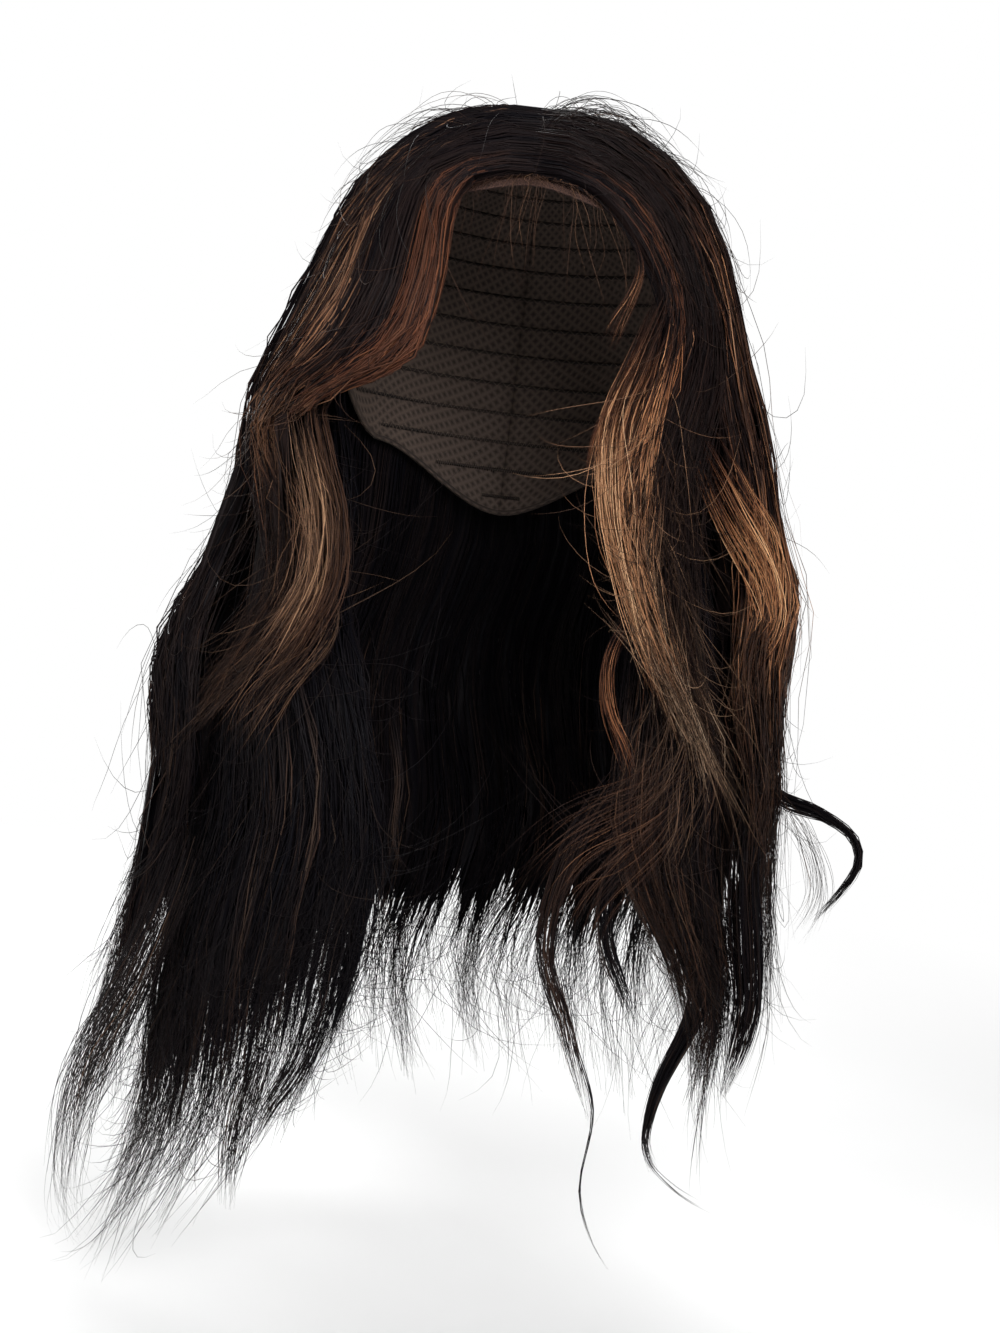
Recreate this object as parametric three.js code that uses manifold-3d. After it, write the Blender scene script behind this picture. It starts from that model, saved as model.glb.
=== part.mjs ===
// A long wavy wig with a centre parting: a stretch-net cap, its lace front, and the sections of hair on it.
// Millimetres, +Z up, the face side towards -Y. The origin is the top of the cap's hollow, on the crown.
import * as THREE from "three";
import Module from "manifold-3d";

const wasm = await Module();
wasm.setup();

// The head that the cap is stretched over: half its width and length, and the crown above the widest level
const HEAD_HALF_WIDTH = 74;
const HEAD_HALF_LENGTH = 94;
const HEAD_RISE = 100;
const HEAD_SET_BACK = 6;
const CAP_WALL = 1.5;
const LACE_WALL = 1;
const LACE_WIDTH_DEG = 3.2;
const LACE_GAP_DEG = 0.25;
const LACE_SPAN = 60;
const PIECE_GAP = 0.4;
const PARTING_HALF_WIDTH = 1.2;

// How a section's thickness falls off at its roots, tips, side edges and in the grooves between locks
const ROOT_SHARE = 0.45;
const ROOT_LENGTH = 0.18;
const TIP_LENGTH = 0.4;
const TIP_THICKNESS = 1.2;
const EDGE_SHARE = 0.35;
const GROOVE_SHARE = 0.5;
const LOCK_STAGGER = 0.06;
const STAGGER_STEP = 2.4;

// The wave that was set into the hair
const WAVE_START = -85;
const WAVE_RAMP = 60;
const WAVE_LENGTH = 135;
const WAVE_PUFF = 0.45;

// Colours and roughness of the cloth and the hair
const CAP_COLOUR = 0x382f29;
const LACE_COLOUR = 0x3f2b24;
const CLOTH_ROUGHNESS = 0.9;
const HAIR_ROUGHNESS = 0.45;

// How finely the solids are faceted
const LOCK_SIDES = 6;
const LOCK_STEPS = 10;
const CAP_COLUMNS = 36;
const CAP_ROWS = 6;
const LACE_COLUMNS = (CAP_COLUMNS * 2 * LACE_SPAN) / 360;
const COLUMNS_PER_LOCK = 4;
const OVER_POINTS = 3;

const headRadii = new THREE.Vector3(HEAD_HALF_WIDTH, HEAD_HALF_LENGTH, HEAD_RISE);
const headCentre = new THREE.Vector3(0, HEAD_SET_BACK, -HEAD_RISE);

// The cap's lower edge, as tilt from the crown in degrees, by azimuth from the front
const CAP_EDGE = [
  { azimuth: 0, tilt: 44 },
  { azimuth: 32, tilt: 48 },
  { azimuth: 58, tilt: 67 },
  { azimuth: 76, tilt: 92 },
  { azimuth: 98, tilt: 88 },
  { azimuth: 130, tilt: 106 },
  { azimuth: 180, tilt: 122 },
];

// Hair sections, outermost first. Each guide row is one lock line: the tilt of its root on the parting, or
// on the cap at an azimuth, then [azimuth, reach from the head's axis] at each level and at the tip, and the
// tip's drop below the crown. A wave swings it sideways by so many millimetres, from a phase in degrees.
const SECTIONS = [
  {
    name: "fringe_left",
    colour: 0x3a1d14,
    side: -1,
    levels: { crest: -32, hairline: -47, brow: -76, eye: -101, temple: -118, pinch: -130, jaw: -188 },
    thick: 7,
    locks: 3,
    rows: 16,
    notch: 0.07,
    guides: [
      { root: 45.5, crest: [-18, 72], hairline: [-19, 88], brow: [-17, 100], eye: [-20, 104],
        temple: [-40, 101], pinch: [-66, 92], jaw: [-46, 84], tip: [-62, 110], drop: 246, wave: 0,
        phase: 0 },
      { root: 37, crest: [-36, 68], hairline: [-34, 82], brow: [-33, 95], eye: [-37, 101],
        temple: [-54, 101], pinch: [-73, 96], jaw: [-54, 88], tip: [-68, 114], drop: 256, wave: 0,
        phase: 0 },
      { root: 27, crest: [-56, 64], hairline: [-55, 76], brow: [-50, 89], eye: [-56, 97],
        temple: [-68, 101], pinch: [-80, 100], jaw: [-64, 94], tip: [-76, 118], drop: 264, wave: 0,
        phase: 0 },
    ],
  },
  {
    name: "fringe_right",
    colour: 0x4a2415,
    side: 1,
    levels: { crest: -32, hairline: -47, brow: -74, eye: -100, cheek: -130, jaw: -188 },
    thick: 7,
    locks: 3,
    rows: 16,
    notch: 0.08,
    guides: [
      { root: 45.5, crest: [18, 72], hairline: [28, 82], brow: [37, 91], eye: [32, 97],
        cheek: [28, 101], jaw: [36, 98], tip: [50, 112], drop: 240, wave: 0, phase: 0 },
      { root: 37, crest: [36, 68], hairline: [41, 79], brow: [46, 89], eye: [41, 96], cheek: [36, 100],
        jaw: [43, 99], tip: [57, 114], drop: 252, wave: 0, phase: 0 },
      { root: 27, crest: [56, 64], hairline: [58, 75], brow: [59, 86], eye: [54, 94], cheek: [46, 99],
        jaw: [51, 101], tip: [64, 116], drop: 264, wave: 0, phase: 0 },
    ],
  },
  {
    name: "top_hair_left",
    colour: 0x17110f,
    side: -1,
    levels: { brow: -62, cheek: -128, jaw: -185, collar: -225, chest: -320 },
    thick: 9,
    locks: 8,
    rows: 14,
    notch: 0.13,
    guides: [
      { root: 25.5, brow: [-60, 80], cheek: [-78, 97], jaw: [-80, 102], collar: [-76, 113],
        chest: [-68, 115], tip: [-66, 120], drop: 372, wave: 5, phase: 40 },
      { root: 14, brow: [-84, 78], cheek: [-94, 103], jaw: [-92, 109], collar: [-88, 122],
        chest: [-82, 124], tip: [-79, 140], drop: 424, wave: 5, phase: 10 },
      { root: 2, brow: [-106, 81], cheek: [-112, 105], jaw: [-110, 111], collar: [-107, 122],
        chest: [-102, 125], tip: [-99, 141], drop: 446, wave: 6, phase: -20 },
      { root: -10, brow: [-132, 91], cheek: [-134, 107], jaw: [-133, 112], collar: [-132, 118],
        chest: [-129, 120], tip: [-126, 126], drop: 440, wave: 6, phase: 20 },
      { root: -20, brow: [-156, 98], cheek: [-157, 111], jaw: [-157, 115], collar: [-156, 118],
        chest: [-155, 119], tip: [-154, 121], drop: 432, wave: 6, phase: 60 },
      { root: -26, brow: [-179.7, 101], cheek: [-179.7, 113], jaw: [-179.7, 116], collar: [-179.7, 118],
        chest: [-179.7, 119], tip: [-179.7, 120], drop: 426, wave: 5, phase: 85 },
    ],
  },
  {
    name: "top_hair_right",
    colour: 0x24160f,
    side: 1,
    levels: { brow: -62, cheek: -128, jaw: -178, collar: -212, chest: -300 },
    thick: 9,
    locks: 8,
    rows: 14,
    notch: 0.13,
    guides: [
      { root: 25.5, brow: [60, 82], cheek: [62, 98], jaw: [70, 111], collar: [70, 110],
        chest: [74, 119], tip: [78, 118], drop: 346, wave: 5, phase: -60 },
      { root: 14, brow: [84, 83], cheek: [88, 107], jaw: [88, 124], collar: [86, 117], chest: [88, 131],
        tip: [90, 127], drop: 372, wave: 5, phase: -30 },
      { root: 2, brow: [106, 83], cheek: [108, 108], jaw: [107, 124], collar: [106, 118],
        chest: [106, 131], tip: [104, 128], drop: 384, wave: 6, phase: 0 },
      { root: -10, brow: [132, 91], cheek: [132, 109], jaw: [131, 118], collar: [130, 117],
        chest: [129, 122], tip: [128, 123], drop: 405, wave: 6, phase: 30 },
      { root: -20, brow: [156, 98], cheek: [156, 112], jaw: [155, 117], collar: [155, 118],
        chest: [154, 120], tip: [154, 121], drop: 418, wave: 6, phase: 60 },
      { root: -26, brow: [179.7, 101], cheek: [179.7, 113], jaw: [179.7, 116], collar: [179.7, 118],
        chest: [179.7, 119], tip: [179.7, 120], drop: 424, wave: 5, phase: 85 },
    ],
  },
  {
    name: "side_hair_left",
    colour: 0x0d0b0c,
    side: -1,
    levels: { cheek: -138, collar: -235, chest: -325 },
    thick: 8,
    locks: 5,
    rows: 10,
    notch: 0.14,
    guides: [
      { root: 72, azimuth: -60, cheek: [-58, 74], collar: [-28, 86], chest: [-15, 92], tip: [-34, 100],
        drop: 396, wave: 3, phase: 0 },
      { root: 82, azimuth: -74, cheek: [-74, 77], collar: [-44, 92], chest: [-32, 99], tip: [-44, 112],
        drop: 424, wave: 4, phase: 0 },
      { root: 84, azimuth: -90, cheek: [-90, 79], collar: [-64, 97], chest: [-52, 107], tip: [-58, 128],
        drop: 456, wave: 4, phase: 0 },
      { root: 86, azimuth: -106, cheek: [-106, 82], collar: [-88, 98], chest: [-78, 108],
        tip: [-80, 126], drop: 460, wave: 4, phase: 0 },
    ],
  },
  {
    name: "side_hair_right",
    colour: 0x17100e,
    side: 1,
    levels: { cheek: -138, collar: -235, chest: -325 },
    thick: 8,
    locks: 5,
    rows: 10,
    notch: 0.14,
    guides: [
      { root: 72, azimuth: 60, cheek: [58, 74], collar: [41, 84], chest: [60, 99], tip: [70, 107],
        drop: 366, wave: 4, phase: 90 },
      { root: 82, azimuth: 74, cheek: [74, 77], collar: [58, 92], chest: [69, 104], tip: [76, 111],
        drop: 384, wave: 5, phase: 60 },
      { root: 84, azimuth: 90, cheek: [90, 79], collar: [79, 97], chest: [84, 110], tip: [86, 112],
        drop: 394, wave: 5, phase: 30 },
      { root: 86, azimuth: 106, cheek: [106, 82], collar: [100, 98], chest: [101, 110], tip: [98, 112],
        drop: 398, wave: 5, phase: 0 },
    ],
  },
  {
    name: "nape_hair",
    colour: 0x0e0b0b,
    side: 0,
    levels: { jaw: -165, collar: -240, chest: -330 },
    thick: 8,
    locks: 6,
    rows: 8,
    notch: 0.14,
    guides: [
      { root: 92, azimuth: -120, jaw: [-120, 88], collar: [-117, 97], chest: [-114, 102],
        tip: [-112, 108], drop: 428, wave: 4, phase: 0 },
      { root: 103, azimuth: -150, jaw: [-150, 96], collar: [-149, 101], chest: [-148, 104],
        tip: [-148, 107], drop: 420, wave: 4, phase: 40 },
      { root: 109, azimuth: -180, jaw: [-180, 100], collar: [-180, 103], chest: [-180, 105],
        tip: [-180, 107], drop: 414, wave: 4, phase: 80 },
      { root: 103, azimuth: -210, jaw: [-210, 96], collar: [-211, 101], chest: [-212, 104],
        tip: [-212, 107], drop: 408, wave: 4, phase: 120 },
      { root: 92, azimuth: -240, jaw: [-240, 88], collar: [-243, 97], chest: [-246, 102],
        tip: [-248, 108], drop: 400, wave: 4, phase: 160 },
    ],
  },
];

// Free locks that leave a section's wall: stations from root to tip, with the lock's width at each
const FREE_LOCKS = [
  {
    section: "top_hair_right",
    stations: [
      { azimuth: 96, reach: 119, height: -222, width: 8 },
      { azimuth: 95, reach: 136, height: -250, width: 8 },
      { azimuth: 93, reach: 156, height: -266, width: 6 },
      { azimuth: 92, reach: 163, height: -281, width: 4 },
      { azimuth: 92, reach: 150, height: -304, width: 1.4 },
    ],
  },
  {
    section: "side_hair_right",
    stations: [
      { azimuth: 46, reach: 86, height: -246, width: 9 },
      { azimuth: 30, reach: 88, height: -278, width: 8 },
      { azimuth: 25, reach: 92, height: -316, width: 6 },
      { azimuth: 30, reach: 96, height: -340, width: 5 },
      { azimuth: 39, reach: 101, height: -380, width: 1.4 },
    ],
  },
  {
    section: "side_hair_right",
    stations: [
      { azimuth: 76, reach: 107, height: -330, width: 10 },
      { azimuth: 71, reach: 107, height: -354, width: 9 },
      { azimuth: 68, reach: 98, height: -376, width: 7 },
      { azimuth: 68, reach: 98, height: -400, width: 4 },
      { azimuth: 74, reach: 126, height: -420, width: 1.2 },
    ],
  },
];

// A direction on the head: tilt from the crown and azimuth from the front, in degrees
function direction(tilt, azimuth) {
  const t = THREE.MathUtils.degToRad(tilt);
  const a = THREE.MathUtils.degToRad(azimuth);
  return new THREE.Vector3(Math.sin(t) * Math.sin(a), -Math.sin(t) * Math.cos(a), Math.cos(t));
}

// The point on the head in a direction, lifted off it
function headPoint(way, lift) {
  return headRadii.clone().addScalar(lift).multiply(way).add(headCentre);
}

// A point at an azimuth and a reach from the head's upright axis
function aroundAxis([azimuth, reach], height) {
  const a = THREE.MathUtils.degToRad(azimuth);
  return new THREE.Vector3(reach * Math.sin(a), HEAD_SET_BACK - reach * Math.cos(a), height);
}

function smoothStep(x) {
  const t = THREE.MathUtils.clamp(x, 0, 1);
  return t * t * (3 - 2 * t);
}

// A value read from rows of a table, eased between the two rows that bracket x
function tableValue(rows, column, x, value) {
  let k = 0;
  while (k < rows.length - 2 && x > rows[k + 1][column]) k += 1;
  const share = (x - rows[k][column]) / (rows[k + 1][column] - rows[k][column]);
  return THREE.MathUtils.lerp(rows[k][value], rows[k + 1][value], smoothStep(share));
}

// A guide's smooth line: over the head from its root, then down through the section's levels to its tip
function guideLine(section, guide) {
  const rootWay = direction(guide.root, guide.azimuth ?? 0);
  const lift = CAP_WALL + PIECE_GAP + 0.5 * section.thick * ROOT_SHARE;
  const root = headPoint(rootWay, lift);
  if (guide.azimuth === undefined) root.x += section.side * PARTING_HALF_WIDTH;
  const stops = Object.entries(section.levels).map(([level, height]) => aroundAxis(guide[level], height));
  const firstWay = stops[0].clone().sub(headCentre).divide(headRadii);
  const firstScale = firstWay.length();
  firstWay.normalize();
  const rootScale = 1 + lift / HEAD_RISE;
  const angle = rootWay.angleTo(firstWay);
  const over = [];
  for (let k = 1; k <= OVER_POINTS; k += 1) {
    const share = k / (OVER_POINTS + 1);
    const way = rootWay.clone().multiplyScalar(Math.sin((1 - share) * angle));
    way.addScaledVector(firstWay, Math.sin(share * angle)).divideScalar(Math.sin(angle));
    way.multiplyScalar(THREE.MathUtils.lerp(rootScale, firstScale, share));
    over.push(way.multiply(headRadii).add(headCentre));
  }
  return new THREE.CatmullRomCurve3([root, ...over, ...stops, aroundAxis(guide.tip, -guide.drop)]);
}

// The value at u of a smooth curve through evenly spaced values
function acrossGuides(values, u) {
  const last = values.length - 1;
  const x = THREE.MathUtils.clamp(u, 0, 1) * last;
  const k = Math.min(Math.floor(x), last - 1);
  const t = x - k;
  const at = (i) => values[THREE.MathUtils.clamp(i, 0, last)];
  const [a, b, c, d] = [at(k - 1), at(k), at(k + 1), at(k + 2)];
  return b + 0.5 * t * (c - a + t * (2 * a - 5 * b + 4 * c - d + t * (3 * (b - c) + d - a)));
}

// The middle surface of a section: u runs across its guides, v from root to tip
function hairSurface(section) {
  const lines = section.guides.map((guide) => guideLine(section, guide));
  const column = (name) => section.guides.map((guide) => guide[name]);
  const waves = column("wave");
  const phases = column("phase");
  return (u, v) => {
    const points = lines.map((line) => line.getPointAt(v));
    const p = new THREE.Vector3(
      acrossGuides(points.map((q) => q.x), u),
      acrossGuides(points.map((q) => q.y), u),
      acrossGuides(points.map((q) => q.z), u),
    );
    const size = acrossGuides(waves, u) * smoothStep((WAVE_START - p.z) / WAVE_RAMP);
    const turn = (2 * Math.PI * (WAVE_START - p.z)) / WAVE_LENGTH;
    const swing = turn + THREE.MathUtils.degToRad(acrossGuides(phases, u));
    const outwards = new THREE.Vector3(p.x, p.y - HEAD_SET_BACK, 0).normalize();
    const around = new THREE.Vector3(-outwards.y, outwards.x, 0);
    p.addScaledVector(around, size * Math.sin(swing));
    return p.addScaledVector(outwards, WAVE_PUFF * size * Math.cos(swing));
  };
}

// A closed wall between two grids of points that have the same rows and columns
function wallSolid(outer, inner) {
  const rows = outer.length;
  const columns = outer[0].length;
  const points = [...outer.flat(), ...inner.flat()];
  const at = (side, r, c) => side * rows * columns + r * columns + c;
  const faces = [];
  const quad = (a, b, c, d) => faces.push(a, b, c, a, c, d);
  for (let r = 0; r + 1 < rows; r += 1) {
    for (let c = 0; c + 1 < columns; c += 1) {
      quad(at(0, r, c), at(0, r + 1, c), at(0, r + 1, c + 1), at(0, r, c + 1));
      quad(at(1, r, c), at(1, r, c + 1), at(1, r + 1, c + 1), at(1, r + 1, c));
    }
    quad(at(0, r, 0), at(1, r, 0), at(1, r + 1, 0), at(0, r + 1, 0));
    quad(at(0, r, columns - 1), at(0, r + 1, columns - 1), at(1, r + 1, columns - 1), at(1, r, columns - 1));
  }
  for (let c = 0; c + 1 < columns; c += 1) {
    quad(at(0, 0, c), at(0, 0, c + 1), at(1, 0, c + 1), at(1, 0, c));
    quad(at(0, rows - 1, c), at(1, rows - 1, c), at(1, rows - 1, c + 1), at(0, rows - 1, c + 1));
  }
  return solidOf(points, faces);
}

// A manifold solid from points and triangles, turned so that its faces point out
function solidOf(points, faces) {
  const vertProperties = new Float32Array(points.flatMap((p) => [p.x, p.y, p.z]));
  const make = (triVerts) => new wasm.Manifold(new wasm.Mesh({ numProp: 3, vertProperties, triVerts }));
  const solid = make(new Uint32Array(faces));
  if (solid.volume() > 0) return solid;
  const turned = [];
  for (let i = 0; i < faces.length; i += 3) turned.push(faces[i], faces[i + 2], faces[i + 1]);
  return make(new Uint32Array(turned));
}

// One section of hair as a wall of ridged locks with pointed ends, made thicker all over by grow
function sectionSolid(section, grow = 0) {
  const surface = hairSurface(section);
  const columns = section.locks * COLUMNS_PER_LOCK;
  const outer = [];
  const inner = [];
  for (let r = 0; r <= section.rows; r += 1) {
    const outerRow = [];
    const innerRow = [];
    for (let c = 0; c <= columns; c += 1) {
      const u = c / columns;
      const ridge = 0.5 - 0.5 * Math.cos(2 * Math.PI * section.locks * u);
      const shortening = 0.5 + 0.5 * Math.sin(STAGGER_STEP * Math.floor(u * section.locks));
      const reach = 1 - section.notch * (1 - ridge) - LOCK_STAGGER * ridge * shortening;
      const v = (r / section.rows) * reach;
      const step = 0.004;
      const along = surface(u, Math.min(v + step, 1)).sub(surface(u, Math.max(v - step, 0))).normalize();
      const across = surface(Math.min(u + step, 1), v).sub(surface(Math.max(u - step, 0), v)).normalize();
      const normal = along.clone().cross(across).normalize();
      const p = surface(u, v).addScaledVector(across, grow * (Number(c === columns) - Number(c === 0)));
      p.addScaledVector(along, grow * Number(r === section.rows));
      const edge = THREE.MathUtils.lerp(EDGE_SHARE, 1, smoothStep(Math.min(u, 1 - u) * section.locks));
      const root = THREE.MathUtils.lerp(ROOT_SHARE, 1, smoothStep(v / ROOT_LENGTH));
      const tip = smoothStep((1 - r / section.rows) / TIP_LENGTH);
      const body = section.thick * THREE.MathUtils.lerp(GROOVE_SHARE, 1, ridge) * edge * root * tip;
      const half = 0.5 * Math.max(TIP_THICKNESS, body) + grow;
      outerRow.push(p.clone().addScaledVector(normal, half));
      innerRow.push(p.clone().addScaledVector(normal, -half));
    }
    outer.push(outerRow);
    inner.push(innerRow);
  }
  return wallSolid(outer, inner);
}

// The cap: a thin wall over the head, open below, down to its shaped edge
function capSolid(innerLift, wall) {
  const points = [];
  const faces = [];
  const pole = (side) => side * (CAP_ROWS * CAP_COLUMNS + 1);
  const ring = (side, r, c) => pole(side) + 1 + (r - 1) * CAP_COLUMNS + (c % CAP_COLUMNS);
  for (const lift of [innerLift + wall, innerLift]) {
    points.push(headPoint(direction(0, 0), lift));
    for (let r = 1; r <= CAP_ROWS; r += 1) {
      for (let c = 0; c < CAP_COLUMNS; c += 1) {
        const azimuth = (360 * c) / CAP_COLUMNS;
        const edge = tableValue(CAP_EDGE, "azimuth", Math.min(azimuth, 360 - azimuth), "tilt");
        points.push(headPoint(direction((edge * r) / CAP_ROWS, azimuth), lift));
      }
    }
  }
  for (let c = 0; c < CAP_COLUMNS; c += 1) {
    faces.push(pole(0), ring(0, 1, c), ring(0, 1, c + 1), pole(1), ring(1, 1, c + 1), ring(1, 1, c));
    for (let r = 1; r < CAP_ROWS; r += 1) {
      faces.push(ring(0, r, c), ring(0, r + 1, c), ring(0, r + 1, c + 1));
      faces.push(ring(0, r, c), ring(0, r + 1, c + 1), ring(0, r, c + 1));
      faces.push(ring(1, r, c), ring(1, r + 1, c + 1), ring(1, r + 1, c));
      faces.push(ring(1, r, c), ring(1, r, c + 1), ring(1, r + 1, c + 1));
    }
    faces.push(ring(0, CAP_ROWS, c), ring(1, CAP_ROWS, c), ring(1, CAP_ROWS, c + 1));
    faces.push(ring(0, CAP_ROWS, c), ring(1, CAP_ROWS, c + 1), ring(0, CAP_ROWS, c + 1));
  }
  return solidOf(points, faces);
}

// A strip of lace along the cap's front edge, from one temple to the other
function laceSolid() {
  const outer = [[], []];
  const inner = [[], []];
  for (let c = 0; c <= LACE_COLUMNS; c += 1) {
    const azimuth = LACE_SPAN * (2 * (c / LACE_COLUMNS) - 1);
    const edge = tableValue(CAP_EDGE, "azimuth", Math.abs(azimuth), "tilt");
    [edge + LACE_GAP_DEG, edge + LACE_GAP_DEG + LACE_WIDTH_DEG].forEach((tilt, r) => {
      outer[r].push(headPoint(direction(tilt, azimuth), LACE_WALL));
      inner[r].push(headPoint(direction(tilt, azimuth), 0));
    });
  }
  return wallSolid(outer, inner);
}

// A free lock: a tapering six-sided strand bundle along its stations, made thicker by grow
function lockSolid(lock, grow = 0) {
  const place = ({ azimuth, reach, height }) => aroundAxis([azimuth, reach], height);
  const line = new THREE.CatmullRomCurve3(lock.stations.map(place));
  const widths = lock.stations.map((station) => station.width);
  const frames = line.computeFrenetFrames(LOCK_STEPS);
  const points = [];
  const faces = [];
  const at = (r, c) => r * LOCK_SIDES + (c % LOCK_SIDES);
  for (let r = 0; r <= LOCK_STEPS; r += 1) {
    const share = r / LOCK_STEPS;
    const radius = 0.5 * acrossGuides(widths, share) + grow;
    for (let c = 0; c < LOCK_SIDES; c += 1) {
      const turn = (2 * Math.PI * c) / LOCK_SIDES;
      const p = line.getPoint(share).addScaledVector(frames.normals[r], radius * Math.cos(turn));
      points.push(p.addScaledVector(frames.binormals[r], radius * Math.sin(turn)));
    }
  }
  for (let c = 0; c < LOCK_SIDES; c += 1) {
    for (let r = 0; r < LOCK_STEPS; r += 1) {
      faces.push(at(r, c), at(r, c + 1), at(r + 1, c + 1), at(r, c), at(r + 1, c + 1), at(r + 1, c));
    }
    if (c > 1) faces.push(at(0, 0), at(0, c), at(0, c - 1));
    if (c > 1) faces.push(at(LOCK_STEPS, 0), at(LOCK_STEPS, c - 1), at(LOCK_STEPS, c));
  }
  return solidOf(points, faces);
}

// A section with its free locks fused on
function hairSolid(section, grow = 0) {
  const locks = FREE_LOCKS.filter((lock) => lock.section === section.name);
  return locks.reduce((solid, lock) => solid.add(lockSolid(lock, grow)), sectionSolid(section, grow));
}

// The largest body of a solid, without the slivers that a cut leaves
function largestBody(solid) {
  return solid.decompose().reduce((best, body) => (body.volume() > best.volume() ? body : best));
}

// A named mesh of a solid, in its own material
function meshOf(name, solid, colour, roughness) {
  const made = solid.getMesh();
  const geometry = new THREE.BufferGeometry();
  geometry.setAttribute("position", new THREE.BufferAttribute(made.vertProperties, 3));
  geometry.setIndex(new THREE.BufferAttribute(made.triVerts, 1));
  geometry.computeVertexNormals();
  const material = new THREE.MeshStandardMaterial({ color: colour, roughness, metalness: 0 });
  const mesh = new THREE.Mesh(geometry, material);
  mesh.name = name;
  return mesh;
}

// Each section is cut clear of the cap and of the sections laid before it
const wig = new THREE.Group();
wig.add(meshOf("cap", capSolid(0, CAP_WALL), CAP_COLOUR, CLOTH_ROUGHNESS));
wig.add(meshOf("lace_front", laceSolid(), LACE_COLOUR, CLOTH_ROUGHNESS));
let taken = capSolid(-PIECE_GAP, CAP_WALL + 2 * PIECE_GAP);
for (const section of SECTIONS) {
  const solid = largestBody(hairSolid(section).subtract(taken));
  wig.add(meshOf(section.name, solid, section.colour, HAIR_ROUGHNESS));
  taken = taken.add(solid).add(hairSolid(section, PIECE_GAP));
}

export default wig;
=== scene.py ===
# %% [markdown]
# # A long wavy wig, laid strand by strand
# The real object is a stretch-net cap with a lace front, and on it a great many hairs that part in the
# middle, sweep off the forehead in two curtain fringes and fall in layered waves to the chest. A solid can
# only give the outline of that. Here each section of hair becomes a core of ridged locks covered with swept
# strands, so the fringes, the pointed tips and the loose hairs round the crown are real geometry. The CAD
# model is the frame: it is loaded first, its box is kept, and every new piece stands where its solid
# stands.

import bpy
import numpy as np
from mathutils import Matrix, Vector


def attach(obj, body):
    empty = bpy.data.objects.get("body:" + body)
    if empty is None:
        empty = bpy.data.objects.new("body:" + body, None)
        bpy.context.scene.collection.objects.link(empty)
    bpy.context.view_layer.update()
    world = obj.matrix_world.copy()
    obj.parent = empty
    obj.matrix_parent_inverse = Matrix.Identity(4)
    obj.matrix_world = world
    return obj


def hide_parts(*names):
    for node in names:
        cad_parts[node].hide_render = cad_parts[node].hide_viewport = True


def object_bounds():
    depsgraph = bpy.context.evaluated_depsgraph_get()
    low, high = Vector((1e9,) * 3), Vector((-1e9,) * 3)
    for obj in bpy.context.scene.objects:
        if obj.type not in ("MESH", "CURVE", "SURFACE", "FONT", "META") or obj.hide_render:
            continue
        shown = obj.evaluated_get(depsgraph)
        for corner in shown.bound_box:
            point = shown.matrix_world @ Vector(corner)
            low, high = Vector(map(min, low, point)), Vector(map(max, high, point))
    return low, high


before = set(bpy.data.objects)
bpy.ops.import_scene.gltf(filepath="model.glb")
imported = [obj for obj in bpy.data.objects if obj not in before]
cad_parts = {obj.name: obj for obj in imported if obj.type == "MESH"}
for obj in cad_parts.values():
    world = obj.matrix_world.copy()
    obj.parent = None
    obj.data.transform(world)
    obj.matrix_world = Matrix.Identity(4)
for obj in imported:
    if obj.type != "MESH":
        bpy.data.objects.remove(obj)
CAD_BOX = [list(corner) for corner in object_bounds()]
MM = 0.001
scene = bpy.context.scene
box_mm = [[round(x / MM, 1) for x in corner] for corner in CAD_BOX]
print(len(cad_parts), "CAD nodes in a box of", box_mm, "mm")

# %% [markdown]
# ## The camera
# A photograph of a whole wig is taken from about a metre away, a little above the level of the chin. The
# frame is 1000 x 1333 pixels, and one pixel covers 0.408 mm at the middle of the wig, so distance and pixel
# size give the focal length directly. The wig leans seven degrees in the picture. Turning the camera about
# its own axis is the simple way to show that, because the object itself stays upright in its frame.

# %% Place the camera
PHOTO_TALL_PX = 1333
MM_PER_PX = 0.408
CAMERA_AWAY_MM = 900
CAMERA_RISE = np.radians(3)
CAMERA_ROLL = np.radians(7)
SENSOR_MM = 36
LOOK_AT = Vector((9, 0, -216)) * MM

camera_data = bpy.data.cameras.new("photo_view")
camera_data.sensor_width = SENSOR_MM
camera_data.lens = SENSOR_MM * CAMERA_AWAY_MM / MM_PER_PX / PHOTO_TALL_PX
camera = bpy.data.objects.new("photo_view", camera_data)
scene.collection.objects.link(camera)
scene.camera = camera
back = Vector((0, -np.cos(CAMERA_RISE), np.sin(CAMERA_RISE)))
level_right = Vector((1, 0, 0))
level_up = back.cross(level_right)
right = np.cos(CAMERA_ROLL) * level_right + np.sin(CAMERA_ROLL) * level_up
up = np.cos(CAMERA_ROLL) * level_up - np.sin(CAMERA_ROLL) * level_right
turn = Matrix((right, up, back)).transposed().to_4x4()
camera.matrix_world = Matrix.Translation(LOOK_AT + back * CAMERA_AWAY_MM * MM) @ turn
print("camera lens in mm:", round(camera_data.lens, 2))

# %% [markdown]
# ## Node helpers
# Materials and Geometry Nodes trees are both lists of nodes joined by links. One helper adds a node, sets
# its options, and fills each input with either a plain value or a link from another node's output. Small
# ones on top of it stand for what comes back most often: sums, rescaled values, UV maps and bumps. That
# keeps every tree below short enough to read as a recipe.


# %% Helpers for node trees
def add_node(tree, kind, inputs=None, **options):
    """A node in the tree, with its options set and its inputs given as values or as other nodes' outputs."""
    node = tree.nodes.new(kind)
    for name, value in options.items():
        setattr(node, name, value)
    for name, value in (inputs or {}).items():
        if isinstance(value, bpy.types.NodeSocket):
            tree.links.new(value, node.inputs[name])
        else:
            node.inputs[name].default_value = value
    return node


def node_math(tree, operation, a, b):
    """The result of a sum, product or the like of two values."""
    return add_node(tree, "ShaderNodeMath", {0: a, 1: b}, operation=operation).outputs["Value"]


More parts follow.
